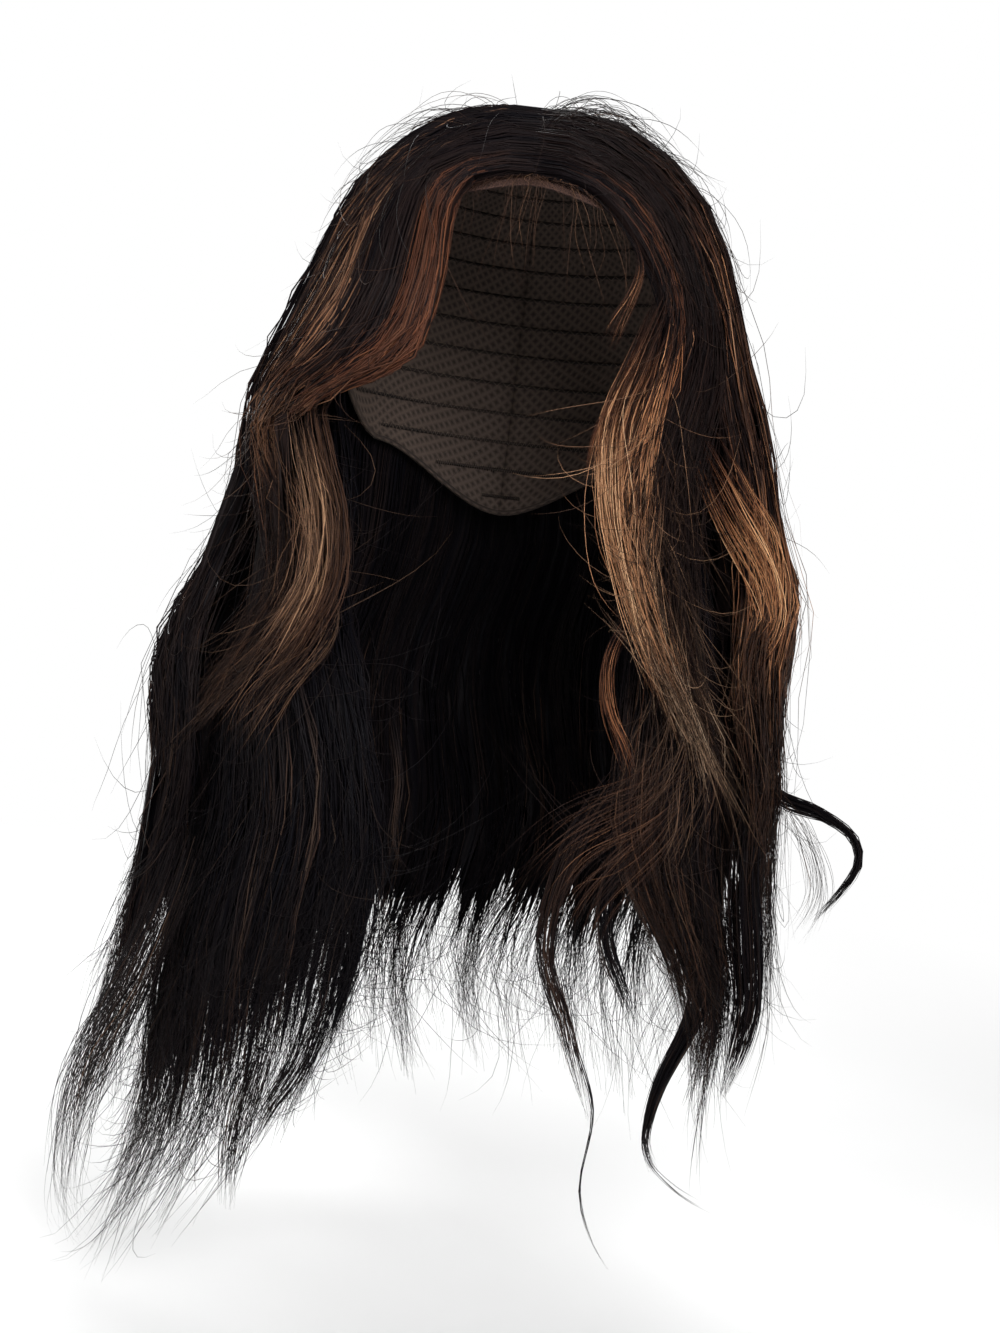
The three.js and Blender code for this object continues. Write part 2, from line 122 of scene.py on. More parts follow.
def rescale(tree, value, low, high):
    """A value from 0 to 1, moved to run from low to high."""
    limits = {"Value": value, "To Min": low, "To Max": high}
    return add_node(tree, "ShaderNodeMapRange", limits).outputs["Result"]


def read_map(tree, name):
    """The place on a UV map."""
    return add_node(tree, "ShaderNodeUVMap", uv_map=name).outputs["UV"]


def add_bump(tree, shader, height, strength, depth_mm):
    """Relief on a shader from a height that runs from 0 to 1."""
    relief = {"Height": height, "Strength": strength, "Distance": depth_mm * MM}
    bump = add_node(tree, "ShaderNodeBump", relief).outputs["Normal"]
    tree.links.new(bump, shader.inputs["Normal"])


def new_material(name):
    """An empty node material with its shader and output joined."""
    material = bpy.data.materials.new(name)
    material.use_nodes = True
    tree = material.node_tree
    tree.nodes.clear()
    shader = tree.nodes.new("ShaderNodeBsdfPrincipled")
    output = tree.nodes.new("ShaderNodeOutputMaterial")
    tree.links.new(shader.outputs["BSDF"], output.inputs["Surface"])
    return material, tree, shader


def colour_ramp(tree, factor, stops):
    """A colour ramp through (place, (red, green, blue)) stops."""
    node = tree.nodes.new("ShaderNodeValToRGB")
    tree.links.new(factor, node.inputs["Fac"])
    elements = node.color_ramp.elements
    while len(elements) < len(stops):
        elements.new(0.5)
    for element, (place, colour) in zip(elements, stops):
        element.position = place
        element.color = (*colour, 1)
    return node.outputs["Color"]


def link_object(name, mesh):
    """A new object for a mesh, linked to the scene."""
    piece = bpy.data.objects.new(name, mesh)
    scene.collection.objects.link(piece)
    return piece


# %% [markdown]
# ## Floor and light
# The wig is shown on white, in soft light from the front right that leaves a faint shadow at the lower
# left. A wide pale disc just under the longest strands makes the floor. Dark hair shows its form only by
# its highlights, so two large area lights stand in front, a weak one above the crown and a wide one behind.
# The white of the surroundings is kept weak where it lights the hair and full where the camera sees it, and
# the floor fades into it.

# %% Build the stage
FLOOR_LEVEL_MM = -474
FLOOR_RADIUS = 9.0
FLOOR_SIDES = 96
FLOOR_ROUGHNESS = 0.85
FLOOR_MOTTLE = 3.0
FLOOR_TONES = ((0.3, (0.64, 0.64, 0.64)), (0.7, (0.67, 0.67, 0.67)))
FADE_FROM, FADE_TO = 0.55, 1.3

angles = np.linspace(0, 2 * np.pi, FLOOR_SIDES, endpoint=False)
rim = [(FLOOR_RADIUS * np.cos(a), FLOOR_RADIUS * np.sin(a), FLOOR_LEVEL_MM * MM) for a in angles]
floor_mesh = bpy.data.meshes.new("floor")
floor_mesh.from_pydata(rim, [], [range(FLOOR_SIDES)])
floor = link_object("floor", floor_mesh)
floor_material, tree, shader = new_material("pale_floor")
coords = add_node(tree, "ShaderNodeTexCoord").outputs["Object"]
mottle = add_node(tree, "ShaderNodeTexNoise", {"Vector": coords, "Scale": FLOOR_MOTTLE}).outputs["Fac"]
tree.links.new(colour_ramp(tree, mottle, FLOOR_TONES), shader.inputs["Base Color"])
shader.inputs["Roughness"].default_value = FLOOR_ROUGHNESS
distance = add_node(tree, "ShaderNodeVectorMath", {0: coords}, operation="LENGTH").outputs["Value"]
rings = {"Value": distance, "From Min": FADE_FROM, "From Max": FADE_TO, "To Max": 1.0}
fade = add_node(tree, "ShaderNodeMapRange", rings, interpolation_type="SMOOTHSTEP").outputs["Result"]
white = add_node(tree, "ShaderNodeEmission", {"Color": (1, 1, 1, 1), "Strength": 1.0}).outputs["Emission"]
mixed = add_node(tree, "ShaderNodeMixShader", {0: fade, 1: shader.outputs["BSDF"], 2: white})
tree.links.new(mixed.outputs["Shader"], tree.nodes["Material Output"].inputs["Surface"])
floor_mesh.materials.append(floor_material)
print("floor radius in m:", FLOOR_RADIUS)

# %% Light the stage
ROOM_GLOW = 0.12
# Each light: name, place and size in metres, power in watts
LIGHTS = (
    ("key", (0.5, -1.35, 0.5), 0.8, 37),
    ("fill", (-0.9, -1.15, 0.2), 0.9, 17),
    ("crown", (0.1, 0.3, 1.0), 0.8, 7),
    ("behind", (-0.5, 1.3, 0.3), 1.2, 30),
)

world = bpy.data.worlds.new("white_room")
scene.world = world
world.use_nodes = True
tree = world.node_tree
tree.nodes.clear()
seen = add_node(tree, "ShaderNodeLightPath").outputs["Is Camera Ray"]
glow = rescale(tree, seen, ROOM_GLOW, 1.0)
white = add_node(tree, "ShaderNodeBackground", {"Strength": glow, "Color": (1, 1, 1, 1)})
add_node(tree, "ShaderNodeOutputWorld", {"Surface": white.outputs["Background"]})
for name, place, size, watts in LIGHTS:
    lamp_data = bpy.data.lights.new(name, "AREA")
    lamp_data.size = size
    lamp_data.energy = watts
    lamp = bpy.data.objects.new(name, lamp_data)
    scene.collection.objects.link(lamp)
    lamp.location = place
    lamp.rotation_euler = (LOOK_AT - Vector(place)).to_track_quat("-Z", "Y").to_euler()
scene.view_settings.view_transform = "Standard"
print("lights:", ", ".join(name for name, *_ in LIGHTS))

# %% [markdown]
# ## Where the hair runs
# Each section of hair is a curved sheet. It starts along the parting or along the cap's edge, lies over the
# head, and falls. Guides are the lines that a comb would follow: a root on the head, stops given as azimuth
# and reach round the head's upright axis, and a tip. Between guides the sheet is a smooth blend, so any
# strand is two numbers: u, its place across the sheet, and v, from root to tip. The same guides shape the
# CAD solids, so the strands lie where the solids are. Only the waves are stronger here, as a solid can't
# follow them so closely.

# %% The head and the guide tables, in millimetres and degrees
HEAD_RADII = np.array([74.0, 94.0, 100.0])
HEAD_CENTRE = np.array([0.0, 6.0, -100.0])
CAP_WALL = 1.5
PIECE_GAP = 0.4
PARTING_HALF_WIDTH = 1.2
# The cap's lower edge as (azimuth, tilt)
CAP_EDGE = np.array([(0, 44), (32, 48), (58, 67), (76, 92), (98, 88), (130, 106), (180, 122)], float)
ROOT_SHARE = 0.45

# Each section: side of the parting, thickness, locks, depth of the notches between their ends, material slot,
# strands and steps along them, share of strands on the inner face, how far down its core runs, own tone and
# warmth, columns of its core in each lock where there are more than usual, and the heights of its stops
# Each guide: root tilt, root azimuth (None on the parting), (azimuth, reach) at each level and at the tip,
# drop of the tip, wave, phase of the wave
SECTIONS = {
    "fringe_left": dict(
        side=-1, thick=7, locks=3, notch=0.07, slot="auburn_hair", strands=770, steps=16, inner=0.2, core=0.8,
        tone=0.1, warmth=0.35,
        levels=(-32, -47, -76, -101, -118, -130, -188),
        guides=(
            (45.5, None, ((-18, 72), (-19, 88), (-17, 100), (-20, 104), (-40, 101), (-66, 92), (-46, 84),
                          (-62, 110)), 246, 0, 0),
            (37, None, ((-36, 68), (-34, 82), (-33, 95), (-37, 101), (-54, 101), (-73, 96), (-54, 88),
                        (-68, 114)), 256, 0, 0),
            (27, None, ((-56, 64), (-55, 76), (-50, 89), (-56, 97), (-68, 101), (-80, 100), (-64, 94),
                        (-76, 118)), 264, 0, 0),
        ),
    ),
    "fringe_right": dict(
        side=1, thick=7, locks=3, notch=0.08, slot="auburn_hair", strands=760, steps=15, inner=0.2, core=0.8,
        tone=0.12, warmth=0.5,
        levels=(-32, -47, -74, -100, -130, -188),
        guides=(
            (45.5, None, ((18, 72), (28, 82), (37, 91), (32, 97), (28, 101), (36, 98), (50, 112)), 240, 0, 0),
            (37, None, ((36, 68), (41, 79), (46, 89), (41, 96), (36, 100), (43, 99), (57, 114)), 252, 0, 0),
            (27, None, ((56, 64), (58, 75), (59, 86), (54, 94), (46, 99), (51, 101), (64, 116)), 264, 0, 0),
        ),
    ),
    "top_hair_left": dict(
        side=-1, thick=9, locks=8, notch=0.13, slot="dark_hair", strands=930, steps=17, inner=0.16, core=0.78,
        tone=0.08, warmth=0.25,
        levels=(-62, -128, -185, -225, -320),
        guides=(
            (25.5, None, ((-60, 80), (-78, 97), (-80, 102), (-76, 113), (-68, 115), (-66, 120)), 372, 5, 40),
            (14, None, ((-84, 78), (-94, 103), (-92, 109), (-88, 122), (-82, 124), (-79, 140)), 424, 5, 10),
            (2, None, ((-106, 81), (-112, 105), (-110, 111), (-107, 122), (-102, 125), (-99, 141)),
             446, 6, -20),
            (-10, None, ((-132, 91), (-134, 107), (-133, 112), (-132, 118), (-129, 120), (-126, 126)),
             440, 6, 20),
            (-20, None, ((-156, 98), (-157, 111), (-157, 115), (-156, 118), (-155, 119), (-154, 121)),
             432, 6, 60),
            (-26, None, ((-179.7, 101), (-179.7, 113), (-179.7, 116), (-179.7, 118), (-179.7, 119),
                         (-179.7, 120)), 426, 5, 85),
        ),
    ),
    "top_hair_right": dict(
        side=1, thick=9, locks=8, notch=0.13, slot="dark_hair", strands=930, steps=17, inner=0.16, core=0.78,
        tone=0.14, warmth=0.5,
        levels=(-62, -128, -178, -212, -300),
        guides=(
            (25.5, None, ((60, 82), (62, 98), (70, 111), (70, 110), (74, 119), (78, 118)), 346, 5, -60),
            (14, None, ((84, 83), (88, 107), (88, 124), (86, 117), (88, 131), (90, 127)), 372, 5, -30),
            (2, None, ((106, 83), (108, 108), (107, 124), (106, 118), (106, 131), (104, 128)), 384, 6, 0),
            (-10, None, ((132, 91), (132, 109), (131, 118), (130, 117), (129, 122), (128, 123)), 405, 6, 30),
            (-20, None, ((156, 98), (156, 112), (155, 117), (155, 118), (154, 120), (154, 121)), 418, 6, 60),
            (-26, None, ((179.7, 101), (179.7, 113), (179.7, 116), (179.7, 118), (179.7, 119), (179.7, 120)),
             424, 5, 85),
        ),
    ),
    "side_hair_left": dict(
        side=-1, thick=8, locks=5, notch=0.14, slot="black_hair", strands=860, steps=13, inner=0.36, core=0.8,
        tone=0.03, warmth=0.15,
        levels=(-138, -235, -325),
        guides=(
            (72, -60, ((-58, 74), (-28, 86), (-15, 92), (-34, 100)), 396, 3, 0),
            (82, -74, ((-74, 77), (-44, 92), (-32, 99), (-44, 112)), 424, 4, 0),
            (84, -90, ((-90, 79), (-64, 97), (-52, 107), (-58, 128)), 456, 4, 0),
            (86, -106, ((-106, 82), (-88, 98), (-78, 108), (-80, 126)), 460, 4, 0),
        ),
    ),
    "side_hair_right": dict(
        side=1, thick=8, locks=5, notch=0.14, slot="black_hair", strands=860, steps=13, inner=0.36, core=0.8,
        tone=0.06, warmth=0.3,
        levels=(-138, -235, -325),
        guides=(
            (72, 60, ((58, 74), (41, 84), (60, 99), (70, 107)), 366, 4, 90),
            (82, 74, ((74, 77), (58, 92), (69, 104), (76, 111)), 384, 5, 60),
            (84, 90, ((90, 79), (79, 97), (84, 110), (86, 112)), 394, 5, 30),
            (86, 106, ((106, 82), (100, 98), (101, 110), (98, 112)), 398, 5, 0),
        ),
    ),
    "nape_hair": dict(
        side=0, thick=8, locks=6, notch=0.14, slot="black_hair", strands=960, steps=11, inner=0.5, core=0.71,
        tone=0.05, warmth=0.2, columns=36,
        levels=(-165, -240, -330),
        guides=(
            (92, -120, ((-120, 88), (-117, 97), (-114, 102), (-112, 108)), 428, 4, 0),
            (103, -150, ((-150, 96), (-149, 101), (-148, 104), (-148, 107)), 420, 4, 40),
            (109, -180, ((-180, 100), (-180, 103), (-180, 105), (-180, 107)), 414, 4, 80),
            (103, -210, ((-210, 96), (-211, 101), (-212, 104), (-212, 107)), 408, 4, 120),
            (92, -240, ((-240, 88), (-243, 97), (-246, 102), (-248, 108)), 400, 4, 160),
        ),
    ),
}
print("hair sections:", ", ".join(SECTIONS))

# %% Points on the head and smooth lines
OVER_POINTS = 3
LINE_SAMPLES = 240
FINE_STEPS = 40
ROOT_CROWDING = 1.2


def head_way(tilt, azimuth):
    """The direction from the head's middle at a tilt from the crown and an azimuth from the front."""
    tilt, azimuth = np.radians(tilt), np.radians(azimuth)
    flat = np.sin(tilt)
    return np.stack([flat * np.sin(azimuth), -flat * np.cos(azimuth), np.cos(tilt) + 0 * azimuth], -1)


def around_axis(azimuth, reach, height):
    """The point at an azimuth and a reach from the head's upright axis."""
    azimuth = np.radians(azimuth)
    forward = HEAD_CENTRE[1] - reach * np.cos(azimuth)
    return np.stack([reach * np.sin(azimuth), forward, height + 0 * azimuth], -1)


def ease(x):
    """A smooth step from 0 to 1."""
    t = np.clip(x, 0, 1)
    return t * t * (3 - 2 * t)


def ramp(x, start, length):
    """A smooth step from 0 to 1 that begins at a place and takes a length."""
    return ease((x - start) / length)


def steps_down(count):
    """Places from 0 to 1 that lie closer together at the root, where hair bends over the head."""
    return np.linspace(0, 1, count) ** ROOT_CROWDING


def edge_tilt(azimuth):
    """The tilt of the cap's lower edge at azimuths from the front."""
    x = np.abs((np.asarray(azimuth, float) + 180) % 360 - 180)
    k = np.clip(np.searchsorted(CAP_EDGE[:, 0], x, "right") - 1, 0, len(CAP_EDGE) - 2)
    share = ease((x - CAP_EDGE[k, 0]) / (CAP_EDGE[k + 1, 0] - CAP_EDGE[k, 0]))
    return CAP_EDGE[k, 1] + (CAP_EDGE[k + 1, 1] - CAP_EDGE[k, 1]) * share


def unit(vectors):
    """Vectors of length one along the last axis."""
    return vectors / np.maximum(np.linalg.norm(vectors, axis=-1, keepdims=True), 1e-9)


def smooth_line(points):
    """A centripetal Catmull-Rom line through the points, sampled at even distances."""
    p = np.array(points, float)
    p = np.vstack([2 * p[0] - p[1], p, 2 * p[-1] - p[-2]])
    t = np.linspace(0, 1, FINE_STEPS, endpoint=False)[:, None]
    parts = []
    for a, b, c, d in zip(p, p[1:], p[2:], p[3:]):
        ab, bc, cd = (np.sqrt(np.linalg.norm(y - x)) for x, y in ((a, b), (b, c), (c, d)))
        leave = ((b - a) / ab - (c - a) / (ab + bc) + (c - b) / bc) * bc
        arrive = ((c - b) / bc - (d - b) / (bc + cd) + (d - c) / cd) * bc
        curve = (3 * (c - b) - 2 * leave - arrive) * t**2 + (2 * (b - c) + leave + arrive) * t**3
        parts.append(b + leave * t + curve)
    fine = np.vstack([*parts, p[-2:-1]])
    run = np.r_[0, np.cumsum(np.linalg.norm(np.diff(fine, axis=0), axis=1))]
    even = np.linspace(0, run[-1], LINE_SAMPLES)
    return np.stack([np.interp(even, run, fine[:, axis]) for axis in range(3)], 1)


# %% Guide lines of each section
def guide_line(section, guide):
    """A guide's line: over the head from its root, then down through its stops to the tip."""
    root_tilt, root_azimuth, stops, drop, _, _ = guide
    root_way = head_way(root_tilt, root_azimuth or 0.0)
    lift = CAP_WALL + PIECE_GAP + 0.5 * section["thick"] * ROOT_SHARE
    root = (HEAD_RADII + lift) * root_way + HEAD_CENTRE
    if root_azimuth is None:
        root[0] += section["side"] * PARTING_HALF_WIDTH
    fall = [around_axis(a, reach, z) for (a, reach), z in zip(stops, (*section["levels"], -drop))]
    first = (fall[0] - HEAD_CENTRE) / HEAD_RADII
    first_scale = np.linalg.norm(first)
    first_way = first / first_scale
    angle = np.arccos(np.clip(root_way @ first_way, -1, 1))
    over = []
    for share in np.arange(1, OVER_POINTS + 1) / (OVER_POINTS + 1):
        way = (root_way * np.sin((1 - share) * angle) + first_way * np.sin(share * angle)) / np.sin(angle)
        scale = (1 + lift / HEAD_RADII[2]) * (1 - share) + first_scale * share
        over.append(way * scale * HEAD_RADII + HEAD_CENTRE)
    return smooth_line([root, *over, *fall])


for section in SECTIONS.values():
    section["lines"] = np.array([guide_line(section, guide) for guide in section["guides"]])
    section["waves"] = np.array([guide[4] for guide in section["guides"]], float)
    section["phases"] = np.radians([guide[5] for guide in section["guides"]])
    steps_mm = np.linalg.norm(np.diff(section["lines"], axis=1), axis=2)
    section["length"] = steps_mm.sum(1).mean()
print("mean lengths in mm:", {name: round(section["length"]) for name, section in SECTIONS.items()})

# %% Any point of a section's sheet
WAVE_START = -85
WAVE_RAMP = 60
WAVE_LENGTH = 135
WAVE_PUFF = 0.45
STYLE_WAVE = 1.5
FRAME_STEP = 0.004


def across_guides(values, u):
    """Values given for each guide, blended smoothly at places u across them."""
    last = len(values) - 1
    x = np.clip(u, 0, 1) * last
    k = np.minimum(x.astype(int), last - 1)
    t = x - k
    column = np.arange(len(u))

    def at(i):
        row = np.clip(i, 0, last)
        return values[row, column] if values.ndim == 3 else values[row]

    a, b, c, d = at(k - 1), at(k), at(k + 1), at(k + 2)
    t = t[:, None] if values.ndim == 3 else t
    return b + 0.5 * t * (c - a + t * (2 * a - 5 * b + 4 * c - d + t * (3 * (b - c) + d - a)))


def on_sheet(section, u, v):
    """Points of a section's middle sheet. Past the tip the line runs on straight."""
    shape = np.shape(u)
    u, v = np.ravel(u), np.ravel(v)
    lines = section["lines"]
    x = np.clip(v, 0, 1) * (LINE_SAMPLES - 1)
    k = np.minimum(x.astype(int), LINE_SAMPLES - 2)
    share = (x - k)[None, :, None]
    step = lines[:, k + 1] - lines[:, k]
    past = np.maximum(v - 1, 0)[None, :, None] * (LINE_SAMPLES - 1)
    p = across_guides(lines[:, k] + step * (share + past), u)
    size = STYLE_WAVE * across_guides(section["waves"], u) * ease((WAVE_START - p[:, 2]) / WAVE_RAMP)
    swing = 2 * np.pi * (WAVE_START - p[:, 2]) / WAVE_LENGTH + across_guides(section["phases"], u)
    outwards = unit(np.stack([p[:, 0], p[:, 1] - HEAD_CENTRE[1], 0 * u], 1))
    around = np.stack([-outwards[:, 1], outwards[:, 0], 0 * u], 1)
    p = p + around * (size * np.sin(swing))[:, None]
    return (p + outwards * (WAVE_PUFF * size * np.cos(swing))[:, None]).reshape(*shape, 3)


def sheet_frame(section, u, v):
    """Directions across the sheet and out of it."""
    along = unit(on_sheet(section, u, v + FRAME_STEP) - on_sheet(section, u, np.maximum(v - FRAME_STEP, 0)))
    before, after = np.maximum(u - FRAME_STEP, 0), np.minimum(u + FRAME_STEP, 1)
    across = unit(on_sheet(section, after, v) - on_sheet(section, before, v))
    out = unit(np.cross(along, across))
    middle = on_sheet(section, u, v) - HEAD_CENTRE
    middle[..., 2] = np.maximum(middle[..., 2], 0)
    return across, out * np.sign(np.median(np.sum(out * middle, -1)))


# %% Thickness and lock ends
ROOT_LENGTH = 0.18
TIP_LENGTH = 0.4
TIP_THICKNESS = 1.2
EDGE_SHARE = 0.35
GROOVE_SHARE = 0.5
LOCK_STAGGER = 0.06
STAGGER_STEP = 2.4
FLAT_RIDGE = 0.8
RIDGE_LENGTH = 0.25
CROWN_RISE = 3.0
RISE_RAMP = (0, 0.05)
SINK_RAMP = (0.07, 0.25)


def lock_ridge(section, u):
    """How far a place is up the ridge of its lock: 1 on the ridge and 0 in the groove."""
    return 0.5 - 0.5 * np.cos(2 * np.pi * section["locks"] * u)


def lock_reach(section, u):
    """How far down the sheet the lock at u reaches."""
    ridge = lock_ridge(section, u)
    shorter = 0.5 + 0.5 * np.sin(STAGGER_STEP * np.floor(u * section["locks"]))
    return 1 - section["notch"] * (1 - ridge) - LOCK_STAGGER * ridge * shorter


def half_thickness(section, u, v, down):
    """Half the section's thickness at (u, v), where down runs from 0 at the root to 1 at the lock's end."""
    edge = EDGE_SHARE + (1 - EDGE_SHARE) * ease(np.minimum(u, 1 - u) * section["locks"])
    root = ROOT_SHARE + (1 - ROOT_SHARE) * ease(v / ROOT_LENGTH)
    ridge = GROOVE_SHARE + (1 - GROOVE_SHARE) * lock_ridge(section, u)
    ridge = FLAT_RIDGE + (ridge - FLAT_RIDGE) * ease(v / RIDGE_LENGTH)
    body = section["thick"] * ridge * edge * root * ease((1 - down) / TIP_LENGTH)
    return 0.5 * np.maximum(TIP_THICKNESS, body)


def from_parting(section):
    """Whether a section starts at the parting."""
    return section["guides"][0][1] is None


def crown_rise(section, v):
    """How far hair that starts at the parting stands up beside it before it lies down."""
    return from_parting(section) * CROWN_RISE * ramp(v, *RISE_RAMP) * (1 - ramp(v, *SINK_RAMP))


# %% [markdown]
# ## Hair colour
# The hair is blue-black at heart, with dark red-brown along the inner fringe edges, copper on the right and
# ash to honey streaks where the fringes end. Every strand carries two numbers: its tone, from black to
# light, and its warmth, from ash to copper. Two ramps and a mix turn them into colour. A short table says
# where highlights were coloured in: the place across a section and along it, the tone and warmth, and what
# share of the strands took the colour. Tone and warmth are kept in a UV map, which the finish reads.

# %% The two ramps and the highlights
ASH_TONES = (
    (0.0, (0.0022, 0.0021, 0.0032)),
    (0.25, (0.0105, 0.0085, 0.0085)),
    (0.45, (0.042, 0.029, 0.021)),
    (0.65, (0.145, 0.094, 0.061)),
    (0.82, (0.35, 0.235, 0.15)),
    (1.0, (0.66, 0.51, 0.37)),
)
COPPER_TONES = (
    (0.0, (0.0026, 0.0021, 0.0027)),
    (0.25, (0.017, 0.008, 0.006)),
    (0.45, (0.062, 0.023, 0.0135)),
    (0.65, (0.2, 0.075, 0.032)),
    (0.82, (0.44, 0.19, 0.08)),
    (1.0, (0.66, 0.36, 0.17)),
)

# Highlights: middle and half width across the section, from and to along it, tone, warmth, share of strands
STREAKS = {
    "fringe_left": (
        (0.02, 0.32, 0.03, 0.60, 0.41, 0.97, 0.80),
        (0.95, 0.22, 0.10, 0.46, 0.41, 0.45, 0.80),
        (0.92, 0.20, 0.12, 0.46, 0.63, 0.40, 0.50),
        (0.70, 0.06, 0.14, 0.44, 0.52, 0.35, 0.50),
        (0.60, 0.50, 0.34, 0.58, 0.43, 0.85, 0.50),
        (0.50, 0.50, 0.40, 0.72, 0.58, 0.50, 0.66),
        (0.50, 0.50, 0.64, 1.10, 0.40, 0.30, 0.45),
        (0.16, 0.18, 0.46, 0.96, 0.54, 0.30, 0.55),
    ),
    "fringe_right": (
        (0.05, 0.36, 0.03, 0.46, 0.41, 0.97, 0.65),
        (0.12, 0.26, 0.34, 0.66, 0.76, 0.75, 0.85),
        (0.22, 0.27, 0.54, 0.94, 0.72, 0.45, 0.85),
        (0.38, 0.30, 0.72, 1.10, 0.90, 0.05, 0.85),
        (0.60, 0.40, 0.60, 1.10, 0.40, 0.10, 0.40),
    ),
    "top_hair_left": (
        (0.04, 0.15, 0.08, 0.38, 0.40, 0.45, 0.75),
        (0.05, 0.14, 0.08, 0.36, 0.62, 0.40, 0.45),
        (0.10, 0.16, 0.28, 0.50, 0.42, 0.50, 0.50),
        (0.14, 0.20, 0.46, 0.66, 0.36, 0.30, 0.45),
        (0.35, 0.32, 0.50, 1.10, 0.32, 0.20, 0.20),
    ),
    "top_hair_right": (
        (0.06, 0.18, 0.05, 0.36, 0.34, 0.90, 0.50),
        (0.16, 0.18, 0.15, 0.42, 0.63, 0.50, 0.65),
        (0.24, 0.26, 0.24, 0.46, 0.44, 0.80, 0.50),
        (0.14, 0.26, 0.41, 0.66, 0.89, 0.75, 0.90),
        (0.22, 0.10, 0.64, 0.76, 0.58, 1.00, 0.50),
        (0.18, 0.42, 0.52, 0.90, 0.43, 0.40, 0.50),
    ),
    "side_hair_left": (
        (0.50, 0.60, 0.40, 1.10, 0.30, 0.20, 0.12),
        (0.85, 0.30, 0.60, 1.10, 0.34, 0.20, 0.30),
    ),
    "side_hair_right": (
        (0.05, 0.30, 0.52, 0.90, 0.46, 0.50, 0.40),
        (0.50, 0.60, 0.40, 1.10, 0.38, 0.35, 0.25),
    ),
    "nape_hair": ((0.50, 0.60, 0.30, 1.10, 0.28, 0.20, 0.10),),
}
STREAK_EDGE = 0.08
STREAK_FADE = 0.15
STREAK_SHIFT = 0.05
ROOT_SHADE = 0.7
SHADE_LENGTH = 0.14
TONE_LIMITS = (0.01, 0.99)
WARMTH_LIMITS = (0.01, 0.94)
WARMTH_RISE = 0.04


def streak_windows(streak, u, v):
    """How far each place is inside a highlight, across it and along it."""
    middle, half, start, end = streak[:4]
    wide = ease((half - np.abs(u - middle)) / STREAK_EDGE)
    long = ease((v - start) / STREAK_FADE) * ease((end - v) / STREAK_FADE)
    return wide, long


def root_shade(v):
    """Hair is darker at its root."""
    return ROOT_SHADE + (1 - ROOT_SHADE) * ease(v / SHADE_LENGTH)


print("highlights:", sum(len(rows) for rows in STREAKS.values()))

# %% [markdown]
# ## The hair finish
# Hair is a thin cone with scales: dark inside, glossy outside. On round strands an ordinary shader already
# gives the bands of light that run across a wave, so the finish only needs the right colour, a satin
# roughness that varies a little from strand to strand, and a fine grain along the strand. The grain is
# noise that is stretched along the strand on the baking map, and it streaks the colour, the roughness and
# the bump together.

# %% Make the hair finishes
GRAIN_ACROSS, GRAIN_ALONG = 1500, 9
GRAIN_DETAIL = 2.0
GRAIN_TONE = 0.07
GRAIN_BUMP = 0.5
GRAIN_DEPTH_MM = 0.4
SMOOTHER, ROUGHER = 0.08, 0.1
HAIR_GLOSS = 0.026
HAIR_ROUGHNESS = {"auburn_hair": 0.34, "dark_hair": 0.33, "black_hair": 0.31}


def hair_finish(name, roughness):
    """A hair material that reads tone and warmth from the UV map hair_tone."""
    material, tree, shader = new_material(name)
    grain_scale = {"Vector": read_map(tree, "OFBake"), "Scale": (GRAIN_ACROSS, GRAIN_ALONG, 1)}
    stretched = add_node(tree, "ShaderNodeMapping", grain_scale).outputs["Vector"]
    noise = {"Vector": stretched, "Scale": 1.0, "Detail": GRAIN_DETAIL}
    grain = add_node(tree, "ShaderNodeTexNoise", noise).outputs["Fac"]
    laid = add_node(tree, "ShaderNodeSeparateXYZ", {"Vector": read_map(tree, "hair_tone")}).outputs
    tone = node_math(tree, "ADD", laid["X"], rescale(tree, grain, -GRAIN_TONE, GRAIN_TONE))
    ash, copper = colour_ramp(tree, tone, ASH_TONES), colour_ramp(tree, tone, COPPER_TONES)
    dyed = {0: laid["Y"], 6: ash, 7: copper}
    colour = add_node(tree, "ShaderNodeMix", dyed, data_type="RGBA").outputs[2]
    tree.links.new(colour, shader.inputs["Base Color"])
    satin = rescale(tree, grain, roughness - SMOOTHER, roughness + ROUGHER)
    tree.links.new(satin, shader.inputs["Roughness"])
    add_bump(tree, shader, grain, GRAIN_BUMP, GRAIN_DEPTH_MM)
    shader.inputs["Specular IOR Level"].default_value = HAIR_GLOSS
    return material


HAIR = {slot: hair_finish(slot, roughness) for slot, roughness in HAIR_ROUGHNESS.items()}
print("hair finishes:", ", ".join(HAIR))

# %% [markdown]
# ## Sweeping the strands
# A strand is a line with a thickness, and a thousand of them repeat the same rule, which is what Geometry
# Nodes are for. The lines come in as loose edges that carry each point's radius, tone and warmth. The tree
# turns the edges into curves, sweeps a three-sided profile along them, and writes two UV maps: hair_tone
# for the finish, and OFBake, where all strands share one strip and the core beneath them has the rest. The
# core is joined on, and everything ends as one realized mesh.

# %% Build the strand tree
STRAND_SIDES = 3
STRAND_STRIP = 0.28
STRIP_MARGIN = 0.01
WALL_SPAN = (1 - STRAND_STRIP) / 2 - 2 * STRIP_MARGIN


